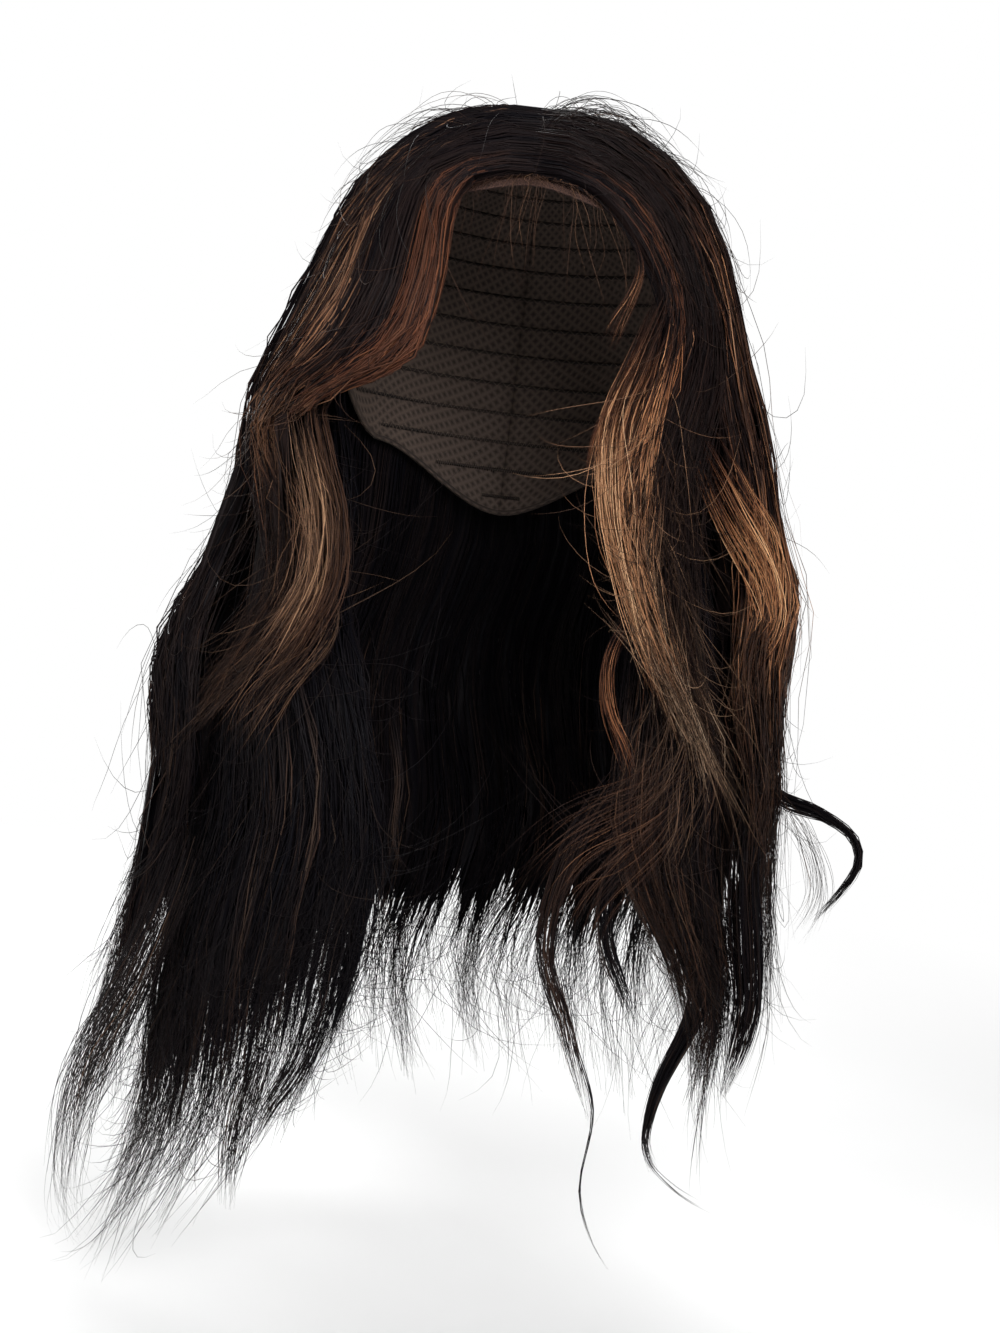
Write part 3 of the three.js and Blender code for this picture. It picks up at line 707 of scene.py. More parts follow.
def strand_tree():
    """The tree that sweeps strands along loose edges and joins the core of the section."""
    tree = bpy.data.node_groups.new("sweep_strands", "GeometryNodeTree")
    wanted = {
        "Strand lines": "NodeSocketGeometry",
        "Core": "NodeSocketObject",
        "Strand sides": "NodeSocketInt",
        "Thickness": "NodeSocketFloat",
        "Tone width": "NodeSocketFloat",
        "Finish": "NodeSocketMaterial",
    }
    ports = {}
    for name, kind in wanted.items():
        ports[name] = tree.interface.new_socket(name, in_out="INPUT", socket_type=kind).identifier
    tree.interface.new_socket("Hair", in_out="OUTPUT", socket_type="NodeSocketGeometry")
    given = tree.nodes.new("NodeGroupInput").outputs

    def read(name):
        return add_node(tree, "GeometryNodeInputNamedAttribute", {"Name": name}).outputs["Attribute"]

    def math(operation, a, b):
        return node_math(tree, operation, a, b)

    def store(geometry, name, value, **options):
        stored = {"Geometry": geometry, "Name": name, "Value": value}
        return add_node(tree, "GeometryNodeStoreNamedAttribute", stored, **options).outputs["Geometry"]

    def store_map(geometry, name, across, upwards):
        place = add_node(tree, "ShaderNodeCombineXYZ", {"X": across, "Y": upwards}).outputs["Vector"]
        return store(geometry, name, place, data_type="FLOAT2", domain="CORNER")

    curves = add_node(tree, "GeometryNodeMeshToCurve", {"Mesh": given["Strand lines"]}).outputs["Curve"]
    ring = {"Resolution": given["Strand sides"], "Radius": 1.0}
    profile = add_node(tree, "GeometryNodeCurvePrimitiveCircle", ring).outputs["Curve"]
    radius = math("MULTIPLY", read("strand_radius"), given["Thickness"])
    sweep = {"Curve": curves, "Profile Curve": profile, "Scale": radius, "Fill Caps": True}
    swept = add_node(tree, "GeometryNodeCurveToMesh", sweep).outputs["Mesh"]
    index = add_node(tree, "GeometryNodeInputIndex").outputs["Index"]
    side = math("MODULO", index, given["Strand sides"])
    sided = store(swept, "side", side, data_type="FLOAT", domain="POINT")
    spread = math("MULTIPLY", math("SUBTRACT", read("side"), 1.0), given["Tone width"])
    tone, warmth = math("ADD", read("tone"), spread), read("warmth")
    mapped = store_map(sided, "hair_tone", tone, warmth)
    strip = math("ADD", math("MULTIPLY", tone, STRAND_STRIP - 2 * STRIP_MARGIN), STRIP_MARGIN)
    mapped = store_map(mapped, "OFBake", strip, warmth)
    core = add_node(tree, "GeometryNodeObjectInfo", {"Object": given["Core"]}).outputs["Geometry"]
    joined = tree.nodes.new("GeometryNodeJoinGeometry")
    tree.links.new(mapped, joined.inputs["Geometry"])
    tree.links.new(core, joined.inputs["Geometry"])
    smooth = add_node(tree, "GeometryNodeSetShadeSmooth", {"Geometry": joined.outputs["Geometry"]})
    real = add_node(tree, "GeometryNodeRealizeInstances", {"Geometry": smooth.outputs["Geometry"]})
    finish = {"Geometry": real.outputs["Geometry"], "Material": given["Finish"]}
    worn = add_node(tree, "GeometryNodeSetMaterial", finish).outputs["Geometry"]
    add_node(tree, "NodeGroupOutput", {"Hair": worn})
    return tree, ports


STRAND_TREE, STRAND_PORTS = strand_tree()
print("strand tree nodes:", len(STRAND_TREE.nodes))

# %% [markdown]
# ## The core of a section
# Strands alone would let light through, and a real head of hair is opaque. So each section gets a core: the
# same wall of ridged locks as its solid, finer and a little thinner, and it ends earlier, in long thin
# points, so that it vanishes among the strands. It is a plain grid, an outer and an inner face closed along
# its edges, and its tone follows the same highlights, only darker, because light hardly reaches between the
# strands.

# %% Make a section's core
CORE_COLUMNS_PER_LOCK = 20
CORE_ROWS = 21
CORE_THICKNESS = 0.8
CORE_EARLY, CORE_LATE = 0.2, 0.07
CORE_JITTER = 0.4
CORE_INSET = 0.025
CORE_SHADE = 0.5
CORE_RELIEF = 0.6
CORE_STREAKS = 0.05
SEED = 26
rng = np.random.default_rng(SEED)


def even_draw(count, low, high):
    """A column of draws between two values, one for each strand."""
    return rng.uniform(low, high, (count, 1))


def bell_draw(count, spread):
    """A column of draws round zero, one for each strand."""
    return rng.normal(0, spread, (count, 1))


def section_tone(name, u, v):
    """The mean tone and warmth of a section at places (u, v)."""
    section = SECTIONS[name]
    tone, warmth = np.full(np.shape(u), section["tone"]), np.full(np.shape(u), section["warmth"])
    for streak in STREAKS[name]:
        wide, long = streak_windows(streak, u, v)
        share = wide * long * streak[6]
        tone, warmth = tone + (streak[4] - tone) * share, warmth + (streak[5] - warmth) * share
    return tone * root_shade(v), warmth


def add_map(mesh, name, corner, across, upwards):
    """A UV map from values given for each vertex."""
    layer = mesh.uv_layers.new(name=name)
    layer.uv.foreach_set("vector", np.stack([across[corner], upwards[corner]], 1).ravel())


def wall_mesh(name, outer, inner):
    """A closed wall between two grids of points, laid out on the baking map beside the strands."""
    rows, columns = outer.shape[:2]
    below = rows * columns
    at = np.arange(below).reshape(rows, columns)
    face = np.stack([at[:-1, :-1], at[1:, :-1], at[1:, 1:], at[:-1, 1:]], -1).reshape(-1, 4)
    rim = np.concatenate([at[0, :-1], at[:-1, -1], at[-1, :0:-1], at[:0:-1, 0]])
    rim_next = np.roll(rim, -1)
    wall = np.stack([rim, rim_next, rim_next + below, rim + below], -1)
    faces = np.concatenate([face, face[:, ::-1] + below, wall])
    points = np.concatenate([outer.reshape(-1, 3), inner.reshape(-1, 3)])
    normal = np.cross(outer[1, 1] - outer[0, 1], outer[0, 1] - outer[0, 0])
    if normal @ (outer[0, 1] - inner[0, 1]) < 0:
        faces = faces[:, ::-1]
    mesh = bpy.data.meshes.new(name)
    mesh.from_pydata(points * MM, [], faces.tolist())
    u, v = np.meshgrid(np.linspace(0, 1, columns), np.linspace(STRIP_MARGIN, 1 - STRIP_MARGIN, rows))
    outer_u = STRAND_STRIP + STRIP_MARGIN + WALL_SPAN * u.ravel()
    inner_u = outer_u + WALL_SPAN + 2 * STRIP_MARGIN
    corner = faces.ravel()
    add_map(mesh, "OFBake", corner, np.r_[outer_u, inner_u], np.tile(v.ravel(), 2))
    return mesh, corner


def core_reach(section, columns):
    """How far down each column of a core runs. Every other one ends early, so the edge is a row of points."""
    draw = rng.random(columns)
    return section["core"] + np.where(np.arange(columns) % 2, CORE_LATE * draw**2, -CORE_EARLY * draw)


def section_core(name):
    """The core of a section as an object with both UV maps."""
    section = SECTIONS[name]
    columns = section["locks"] * section.get("columns", CORE_COLUMNS_PER_LOCK) + 1
    places = np.linspace(CORE_INSET, 1 - CORE_INSET, columns)
    places[1:-1] += rng.uniform(-CORE_JITTER, CORE_JITTER, columns - 2) * (places[1] - places[0])
    u, down = np.meshgrid(places, steps_down(CORE_ROWS + 1))
    v = down * core_reach(section, columns)
    middle = on_sheet(section, u, v)
    _, out = sheet_frame(section, u, v)
    half = CORE_THICKNESS * half_thickness(section, u, v, down)
    half = (half * (1 - CORE_RELIEF * rng.random(columns)))[..., None]
    rise = crown_rise(section, v)[..., None]
    mesh, corner = wall_mesh(name + "_core", middle + out * (half + rise), middle - out * half)
    tone, warmth = section_tone(name, u, v)
    tone = np.clip(CORE_SHADE * tone + rng.normal(0, CORE_STREAKS, columns), *TONE_LIMITS)
    add_map(mesh, "hair_tone", corner, np.tile(tone.ravel(), 2), np.tile(warmth.ravel(), 2))
    return link_object(name + "_core", mesh)


# %% [markdown]
# ## Laying the strands
# Hair gathers in clumps: strands that leave the head side by side draw together towards a shared tip. Each
# strand therefore has a clump, starts at its own root, and moves towards the clump's line as it falls. It
# lies on the outer or the inner face of the section, wanders by a slow random wave that grows towards the
# tip, and thins out at its end. A few strands in a hundred are strays that lift off the surface, which is
# what softens the outline. All draws come from one seeded generator, so the wig is the same every time.

# %% Clumps and lengths
# Here and below, a pair in brackets is the least and the most of a draw, or a ramp's start and length
CLUMPS_PER_LOCK = 9
CLUMP_PLACES = (0.1, 0.9)
CLUMP_EDGE = 0.01
CLUMP_LONGEST, CLUMP_SHORTER = 1.02, 0.08
CLUMP_PULL = (0.1, 0.75)
CLUMP_DRIFT = 0.012
CLUMP_WAVE, CLUMP_PUFF = 2.9, 0.6
CLUMP_HEIGHT = 0.25
DRIFT_LENGTHS = (160, 420)
SWAY_LENGTHS = (100, 220)
SWINGS, SWING_SIZE = 3, 0.6


def waver(count, steps, run, shortest, longest):
    """Slow random swings along count strands: a sum of sines with their own lengths and phases."""
    swing = np.zeros((count, steps))
    for _ in range(SWINGS):
        length = even_draw(count, shortest, longest)
        phase = even_draw(count, 0, 2 * np.pi)
        swing += np.sin(2 * np.pi * run / length + phase) * bell_draw(count, SWING_SIZE)
    return swing


def lay_clumps(count, run):
    """Clumps of strands: places, lengths, pull on their strands, and how they drift, sway, puff and lie."""
    steps = run.shape[1]
    places = (np.arange(count) + rng.uniform(*CLUMP_PLACES, count)) / count
    return dict(
        centre=np.clip(places, CLUMP_EDGE, 1 - CLUMP_EDGE),
        length=CLUMP_LONGEST - np.abs(rng.normal(0, CLUMP_SHORTER, count)),
        pull=rng.uniform(*CLUMP_PULL, count),
        drift=waver(count, steps, run, *DRIFT_LENGTHS) * CLUMP_DRIFT,
        sway=waver(count, steps, run, *SWAY_LENGTHS) * CLUMP_WAVE,
        puff=waver(count, steps, run, *SWAY_LENGTHS) * CLUMP_WAVE * CLUMP_PUFF,
        height=bell_draw(count, CLUMP_HEIGHT),
    )


# %% Colour and thickness of strands
CLUMP_COLOUR = 0.6
CLUMP_TONE, STRAND_TONE = 0.05, 0.03
STREAK_TONE = 0.06
STREAK_BLEND = 0.12
WARMTH_SPREAD = 0.1
ROOT_THINNING, ROOT_RAMP = 0.2, (0, 0.2)
TIP_THINNING, TIP_RAMP = 0.86, (0.66, 0.34)
ROOM = np.array([13.0, 11.0, 16.0])


def strand_colour(tone, warmth):
    """Tone and warmth kept on the map, with warmth rising a little so that a strand's faces have width."""
    along = np.linspace(0, WARMTH_RISE, tone.shape[1])
    return np.clip(tone, *TONE_LIMITS), np.clip(warmth + 0 * tone, *WARMTH_LIMITS) + along


def strand_tones(name, u, v, clump):
    """Tone and warmth along each strand: the section's own, or a highlight's where it took that colour."""
    count, clumps = len(u), clump.max() + 1
    clump_tone = rng.normal(0, CLUMP_TONE, clumps)[clump][:, None]
    tone = SECTIONS[name]["tone"] + clump_tone + bell_draw(count, STRAND_TONE) + 0 * u
    warmth = SECTIONS[name]["warmth"] + bell_draw(count, WARMTH_SPREAD) + 0 * u
    for streak in STREAKS[name]:
        wide, long = streak_windows(streak, u, v + bell_draw(count, STREAK_SHIFT))
        together = rng.random((count, 1)) < CLUMP_COLOUR
        chance = np.where(together, rng.random(clumps)[clump][:, None], rng.random((count, 1)))
        taken = np.clip((streak[6] * wide - chance) / STREAK_BLEND + 0.5, 0, 1) * long
        tone = tone + (streak[4] + bell_draw(count, STREAK_TONE) - tone) * taken
        warmth = warmth + (streak[5] + bell_draw(count, WARMTH_SPREAD) - warmth) * taken
    return strand_colour(tone * root_shade(v), warmth)


def hold_in(points):
    """Strands drawn in softly where they would pass the room that the wig may take beyond its solids."""
    low, high = np.array(CAD_BOX) / MM
    points = np.where(points > high, high + ROOM * np.tanh((points - high) / ROOM), points)
    return np.where(points < low, low - ROOM * np.tanh((low - points) / ROOM), points)


def strand_radii(radius, steps):
    """Radii that thin towards the tip, one row for each strand."""
    s = np.linspace(0, 1, steps)
    taper = 1 - ROOT_THINNING + ROOT_THINNING * ramp(s, *ROOT_RAMP)
    return np.reshape(radius, (-1, 1)) * (taper * (1 - TIP_THINNING * ramp(s, *TIP_RAMP)))


# %% Lay the strands of a section
STRAND_RADIUS, STRAY_RADIUS = 0.33, 0.14
RADIUS_SHARES = (0.7, 1.15)
ROOT_EDGE, SHEET_EDGE = 0.004, 0.002
GATHER_RAMP, DRIFT_RAMP = (0, 0.9), (0, 0.4)
LOCK_PULL, LOCK_RAMP = 0.2, (0.55, 0.45)
LOCK_END = 0.3
LENGTH_SPREAD = 0.05
LAYERED_SHARE, LAYERED_LENGTHS = 0.16, (0.5, 0.95)
DEPTH_MEAN, DEPTH_SPREAD, DEPTH_LIMITS = 0.95, 0.2, (0.4, 1.5)
LEAST_LIFT, LEAST_RAMP = 1.6, (0, 0.3)
FRIZZ, FRIZZ_OUT, FRIZZ_SPREAD = 1.8, 0.7, 0.45
FRIZZ_ROOT, FRIZZ_RAMP, FRIZZ_TIP_RAMP = 0.2, (0, 1.1), (0.7, 0.3)
FRIZZ_LENGTHS = (85, 220)
SWAY_RAMP, PUFF_RAMP = (0.2, 0.6), (0.25, 0.6)
STRAY_SHARE, STRAY_LIFTS = 0.06, (2, 9)
STRAY_STARTS, STRAY_LENGTH = (0.05, 0.6), 0.6
SEAM_COVER, SEAM_PLACE, SEAM_RAMP = 7.0, (0.93, 0.06), (0, 0.05)
PARTING_LIFT, PARTING_CROSS, PARTING_RAMP = 2.5, 5.0, (0, 0.08)


def lay_strands(name):
    """The strands of one section: points, radii, tones and warmths."""
    section = SECTIONS[name]
    count, steps, locks = section["strands"], section["steps"] + 1, section["locks"]
    s = steps_down(steps)[None, :]
    run = s * section["length"]
    clumps = locks * CLUMPS_PER_LOCK
    made = lay_clumps(clumps, run)
    clump = rng.integers(0, clumps, count)
    own = {key: values[clump] for key, values in made.items()}
    centre = own["centre"][:, None]
    root = np.clip(centre + even_draw(count, -1, 1) / clumps, ROOT_EDGE, 1 - ROOT_EDGE)
    gather = ramp(s, *GATHER_RAMP) * own["pull"][:, None]
    u = root + (centre - root) * gather + own["drift"] * ramp(s, *DRIFT_RAMP)
    lock_middle = (np.floor(root * locks) + 0.5) / locks
    u = np.clip(u + (lock_middle - u) * LOCK_PULL * ramp(s, *LOCK_RAMP), SHEET_EDGE, 1 - SHEET_EDGE)
    length = own["length"] * (1 - np.abs(rng.normal(0, LENGTH_SPREAD, count)))
    layered = rng.random(count) < LAYERED_SHARE
    length = np.where(layered, length * rng.uniform(*LAYERED_LENGTHS, count), length)[:, None]
    down = s * length
    v = down * (1 - LOCK_END + LOCK_END * lock_reach(section, root))
    depth = np.clip(rng.normal(DEPTH_MEAN, DEPTH_SPREAD, (count, 1)) + own["height"], *DEPTH_LIMITS)
    depth = np.where(rng.random((count, 1)) < section["inner"], -depth, depth)
    half = half_thickness(section, u, v, np.clip(down, 0, 1))
    lift = depth * np.maximum(half, LEAST_LIFT * ramp(s, *LEAST_RAMP))
    stray = rng.random((count, 1)) < STRAY_SHARE
    loose = FRIZZ * (FRIZZ_ROOT + ramp(s, *FRIZZ_RAMP) + ramp(s, *FRIZZ_TIP_RAMP))
    loose = loose * np.exp(bell_draw(count, FRIZZ_SPREAD))
    sideways = loose * waver(count, steps, run, *FRIZZ_LENGTHS) + own["sway"] * ramp(s, *SWAY_RAMP)
    outwards = FRIZZ_OUT * loose * waver(count, steps, run, *FRIZZ_LENGTHS)
    outwards = outwards + own["puff"] * ramp(s, *PUFF_RAMP)
    away = even_draw(count, *STRAY_LIFTS)
    away = away * ramp(s, even_draw(count, *STRAY_STARTS), STRAY_LENGTH)
    lift = lift + outwards + np.where(stray, np.sign(depth) * away, 0) + (depth > 0) * crown_rise(section, v)
    cross = 0 * s
    if from_parting(section):
        root_end = 1 - ramp(s, *PARTING_RAMP)
        seam = SEAM_COVER * rng.random((count, 1)) * ramp(root, *SEAM_PLACE) * ramp(s, *SEAM_RAMP)
        sideways = sideways + seam
        lift = lift + even_draw(count, 0, PARTING_LIFT) * root_end
        cross = section["side"] * even_draw(count, 0, PARTING_CROSS) * root_end
    across, out = sheet_frame(section, u, v)
    points = on_sheet(section, u, v) + across * sideways[..., None] + out * lift[..., None]
    points[..., 0] -= cross
    radius = np.where(stray[:, 0], STRAY_RADIUS, STRAND_RADIUS * rng.uniform(*RADIUS_SHARES, count))
    return points, strand_radii(radius, steps), *strand_tones(name, u, v, clump)


# %% [markdown]
# ## Wiry hairs, loose bundles and flyaways
# What makes real hair look real is what escaped the comb. Short wiry hairs lie across the locks at odd
# angles, fine ones soften their ends, thin bundles leave the outline and curl back, a fuzz stands over the
# crown, and a few baby hairs hang from the front edge. Each kind is a small rule with its own random draws,
# and all of them give the same four arrays as the main strands, so one tree sweeps them all.

# %% Wiry hairs on a section
WIRY_STEPS = 10
WIRY_RADIUS = 0.11
FINE_SHARES = (0.7, 1.2)
WIRY_SHORTEST = 0.3
WIRY_CURL = 1.3
WIRY_WANDER, WIRY_LENGTHS = 0.2, (60, 140)
WIRY_REACH = (0.02, 1.1)
WIRY_LIFTS = (0.3, 2.4)
WIRY_END_LIFT, WIRY_END_BEND = 6, 1.5
WIRY_SHADE, WIRY_BASE_MOST = 0.7, 0.4
WIRY_LIGHT = (0.2, 1)
WIRY_WARMTH = 0.5

# Wiry hairs: how many, from and to across the section, from and to along it, scatter of their heading in
# radians, longest length in mm, and how much lighter than the hair below
WIRY = {
    "fringe_left": (
        (50, 0.15, 0.95, 0.06, 0.60, 0.3, 90, 0.18),
        (250, 0.10, 0.95, 0.56, 1.00, 0.5, 75, 0.27),
    ),
    "fringe_right": (
        (50, 0.15, 0.95, 0.06, 0.55, 0.3, 90, 0.18),
        (320, 0.10, 0.95, 0.52, 1.00, 0.6, 70, 0.38),
    ),
    "top_hair_left": (
        (80, 0.02, 0.98, 0.04, 0.95, 0.3, 100, 0.2),
        (70, 0.02, 0.45, 0.42, 0.80, 0.7, 70, 0.25),
        (60, 0.02, 0.60, 0.03, 0.26, 0.6, 55, 0.18),
    ),
    "top_hair_right": (
        (80, 0.02, 0.98, 0.04, 0.95, 0.3, 100, 0.2),
        (70, 0.02, 0.45, 0.35, 0.80, 0.7, 70, 0.25),
        (60, 0.02, 0.60, 0.03, 0.26, 0.6, 55, 0.18),
    ),
    "side_hair_left": (
        (110, 0.05, 0.95, 0.30, 1.00, 0.6, 100, 0.3),
        (150, 0.03, 0.97, 0.35, 0.95, 0.45, 90, 0.14),
    ),
    "side_hair_right": ((240, 0.02, 0.90, 0.28, 1.00, 0.7, 80, 0.36),),
    "nape_hair": ((40, 0.05, 0.95, 0.20, 0.95, 0.4, 90, 0.2),),
}

# Fine hairs that soften the ends of a section: how many, and the other settings as above
TIP_HAIRS = {
    "top_hair_left": 220,
    "top_hair_right": 180,
    "side_hair_left": 440,
    "side_hair_right": 240,
    "nape_hair": 160,
}
TIP_SETTINGS = (0.03, 0.97, 0.70, 0.93, 0.28, 110, 0.08)


def lay_wiry(name, count, u_from, u_to, v_from, v_to, scatter, longest, lighter):
    """Short hairs that lie over part of a section at odd angles and lift off it."""
    section = SECTIONS[name]
    s = np.linspace(0, 1, WIRY_STEPS)[None, :]
    u = even_draw(count, u_from, u_to) + 0 * s
    long_mm = even_draw(count, WIRY_SHORTEST, 1) * longest
    heading = bell_draw(count, scatter) + bell_draw(count, WIRY_CURL) * s
    heading = heading + WIRY_WANDER * waver(count, WIRY_STEPS, s * long_mm, *WIRY_LENGTHS)
    step = long_mm / (WIRY_STEPS - 1)
    down = np.cumsum(np.cos(heading) * step, 1) - np.cos(heading[:, :1]) * step
    sideways = np.cumsum(np.sin(heading) * step, 1) - np.sin(heading[:, :1]) * step
    middle = even_draw(count, v_from, v_to)
    v = np.clip(middle + (down - 0.5 * long_mm) / section["length"], *WIRY_REACH)
    across, out = sheet_frame(section, u, v)
    lift = half_thickness(section, u, v, np.clip(v, 0, 1)) + crown_rise(section, v)
    lift = lift + even_draw(count, *WIRY_LIFTS)
    lift = lift + even_draw(count, 0, WIRY_END_LIFT) * s**WIRY_END_BEND
    points = on_sheet(section, u, v) + across * sideways[..., None] + out * lift[..., None]
    tone, warmth = section_tone(name, u, v)
    radii = strand_radii(WIRY_RADIUS * rng.uniform(*FINE_SHARES, count), WIRY_STEPS)
    tone = np.minimum(WIRY_SHADE * tone, WIRY_BASE_MOST) + lighter * even_draw(count, *WIRY_LIGHT)
    return points, radii, *strand_colour(tone, WIRY_WARMTH * warmth)


# %% The table of loose bundles
# Each bundle: section, strands, radius, tone, warmth, waver and curl in mm, then stations from root to tip as
# (azimuth, reach, height, width)
BUNDLES = (
    ("top_hair_right", 60, 0.26, 0.05, 0.2, 1.0, 0.0,
     ((92, 112, -246, 14), (87, 130, -256, 9), (84, 148, -260, 7), (83, 160, -267, 6), (82, 163, -276, 5),
      (82, 158, -288, 4), (82, 148, -303, 3))),
    ("top_hair_right", 30, 0.09, 0.25, 0.2, 3.0, 0.0,
     ((75, 126, -250, 10), (82, 141, -270, 16), (81, 148, -290, 18), (82, 142, -310, 16))),
    ("top_hair_right", 64, 0.17, 0.75, 0.8, 2.4, 0.0,
     ((44, 100, -112, 14), (56, 106, -138, 24), (70, 114, -163, 28), (75, 117, -184, 24),
      (68, 111, -206, 14))),
    ("top_hair_right", 110, 0.24, 0.07, 0.3, 1.6, 0.0,
     ((80, 117, -262, 18), (78, 119, -288, 20), (78, 123, -312, 22), (78, 127, -337, 20), (79, 125, -358, 15),
      (80, 121, -378, 4))),
    ("side_hair_right", 46, 0.22, 0.24, 0.4, 1.4, 0.0,
     ((46, 86, -246, 12), (30, 88, -278, 10), (25, 92, -316, 8), (30, 96, -340, 6), (39, 101, -380, 2))),
    ("side_hair_right", 7, 0.17, 0.05, 0.2, 0.5, 0.0,
     ((28, 94, -318, 4), (34, 96, -349, 3), (40, 100, -376, 2.5), (38, 102, -406, 1.5), (43, 103, -426, 1.2),
      (51, 104, -442, 0.8))),
    ("side_hair_right", 76, 0.26, 0.05, 0.2, 1.2, 0.0,
     ((80, 108, -316, 18), (73, 107, -346, 14), (68, 99, -374, 10), (67, 97, -396, 6), (69, 102, -408, 2))),
    ("side_hair_right", 5, 0.14, 0.08, 0.2, 0.8, 0.0,
     ((67, 97, -388, 3), (68, 98, -402, 3), (71, 110, -414, 3), (74, 126, -421, 2))),
    ("side_hair_right", 34, 0.22, 0.14, 0.3, 1.4, 0.0,
     ((50, 92, -273, 9), (41, 92, -288, 8), (40, 95, -311, 7), (45, 99, -330, 6), (50, 103, -345, 3))),
    ("side_hair_right", 44, 0.1, 0.36, 0.5, 3.0, 0.0,
     ((59, 106, -240, 18), (42, 102, -260, 30), (26, 99, -276, 36), (17, 98, -298, 44))),
    ("side_hair_right", 40, 0.1, 0.34, 0.5, 3.0, 0.0,
     ((56, 106, -252, 18), (40, 102, -275, 30), (31, 99, -295, 32), (27, 98, -318, 36))),
    ("fringe_right", 22, 0.14, 0.52, 0.8, 2.2, 0.0,
     ((38, 97, -176, 8), (31, 95, -204, 9), (32, 96, -222, 8), (37, 98, -238, 7), (43, 100, -256, 6))),
    ("fringe_right", 96, 0.19, 0.77, 0.65, 3.0, 0.0,
     ((37, 92, -66, 12), (30, 96, -94, 16), (25, 98, -118, 18), (27, 98, -145, 19), (33, 98, -172, 17),
      (41, 101, -200, 14), (52, 108, -234, 8))),
    ("fringe_right", 30, 0.11, 0.7, 0.55, 4.0, 4.0,
     ((34, 93, -78, 18), (27, 99, -118, 26), (27, 100, -145, 28), (33, 101, -172, 28), (42, 104, -202, 26))),
    ("fringe_right", 34, 0.11, 0.42, 0.2, 2.5, 4.0,
     ((40, 98, -192, 18), (46, 102, -217, 24), (42, 104, -244, 26), (33, 104, -269, 26))),
    ("fringe_right", 28, 0.11, 0.4, 0.2, 2.5, 4.0,
     ((52, 104, -213, 18), (56, 108, -239, 24), (52, 108, -266, 24), (44, 108, -289, 20))),
    ("fringe_right", 16, 0.11, 0.42, 0.7, 1.5, 0.0,
     ((26, 84, -43, 2), (28, 92, -60, 5), (22, 97, -84, 8), (19, 99, -96, 9))),
    ("fringe_right", 44, 0.14, 0.46, 0.85, 1.8, 0.0,
     ((36, 91, -66, 8), (29, 96, -101, 12), (23, 99, -125, 14), (22, 100, -147, 14))),
    ("fringe_left", 90, 0.2, 0.38, 0.45, 2.4, 0.0,
     ((-26, 102, -98, 6), (-38, 99, -109, 10), (-50, 95, -123, 14), (-48, 92, -142, 15), (-42, 91, -164, 16),
      (-39, 93, -188, 16), (-42, 100, -211, 16), (-47, 109, -238, 14))),
    ("fringe_left", 46, 0.16, 0.58, 0.3, 3.0, 0.0,
     ((-44, 100, -100, 6), (-58, 98, -114, 9), (-53, 95, -139, 11), (-45, 94, -166, 12), (-43, 97, -189, 13),
      (-47, 106, -214, 14), (-51, 115, -240, 16))),
    ("fringe_left", 36, 0.11, 0.56, 0.3, 3.0, 4.0,
     ((-58, 99, -112, 14), (-50, 97, -140, 22), (-43, 96, -168, 24), (-42, 99, -192, 24),
      (-48, 110, -222, 24))),
    ("top_hair_left", 56, 0.28, 0.2, 0.4, 1.5, 0.0,
     ((-57, 66, -34, 10), (-58, 80, -56, 18), (-57, 87, -76, 24), (-63, 94, -101, 26), (-72, 98, -120, 20),
      (-79, 98, -134, 14), (-74, 96, -160, 10))),
    ("top_hair_left", 26, 0.18, 0.6, 0.4, 2.0, 0.0,
     ((-52, 64, -34, 10), (-54, 80, -56, 18), (-55, 88, -76, 24), (-61, 95, -101, 26), (-70, 100, -120, 20),
      (-77, 100, -134, 14))),
    ("fringe_left", 56, 0.12, 0.46, 0.25, 2.5, 3.0,
     ((-49, 95, -182, 12), (-40, 92, -203, 18), (-46, 106, -232, 24), (-51, 120, -262, 26))),
    ("side_hair_left", 104, 0.16, 0.2, 0.2, 3.0, 2.0,
     ((-54, 124, -288, 20), (-57, 127, -315, 24), (-64, 132, -352, 26), (-80, 141, -402, 30),
      (-80, 145, -443, 26))),
    ("side_hair_left", 46, 0.09, 0.2, 0.2, 4.0, 3.0,
     ((-62, 128, -340, 16), (-74, 136, -384, 26), (-80, 143, -418, 28), (-77, 142, -444, 24),
      (-68, 135, -458, 18))),
    ("side_hair_left", 44, 0.15, 0.16, 0.2, 2.0, 0.0,
     ((-34, 108, -357, 12), (-37, 112, -388, 14), (-37, 114, -411, 12), (-36, 115, -426, 8))),
    ("side_hair_left", 12, 0.15, 0.15, 0.2, 1.0, 0.0,
     ((-60, 124, -287, 5), (-63, 130, -304, 5), (-74, 136, -319, 3))),
    ("side_hair_left", 40, 0.15, 0.2, 0.2, 2.0, 0.0,
     ((-25, 96, -336, 12), (-29, 98, -368, 12), (-35, 100, -389, 10), (-38, 102, -406, 8))),
    ("side_hair_left", 9, 0.12, 0.3, 0.2, 1.5, 0.0,
     ((-21, 86, -230, 4), (-15, 88, -259, 6), (-14, 90, -284, 6), (-6, 92, -301, 6))),
)
print("loose bundles:", len(BUNDLES))

# %% Lay a loose bundle
BUNDLE_STEPS = 17
BUNDLE_STARTS = (0, 0.3)
BUNDLE_END_SPREAD = 0.14
BUNDLE_LENGTHS = (60, 160)
BUNDLE_FLATNESS = 0.6
BUNDLE_WANDER_OUT = 0.7
COIL_TURNS, COIL_SIZES = (0.6, 1.6), (0.3, 1.4)
COIL_RAMP = (0, 0.5)
BUNDLE_END_TONE = 0.15
BUNDLE_TONE_SPREAD = 0.12
ROOT_FADE, STRAND_FADE, TIP_FADE = 0.35, 0.3, 0.25


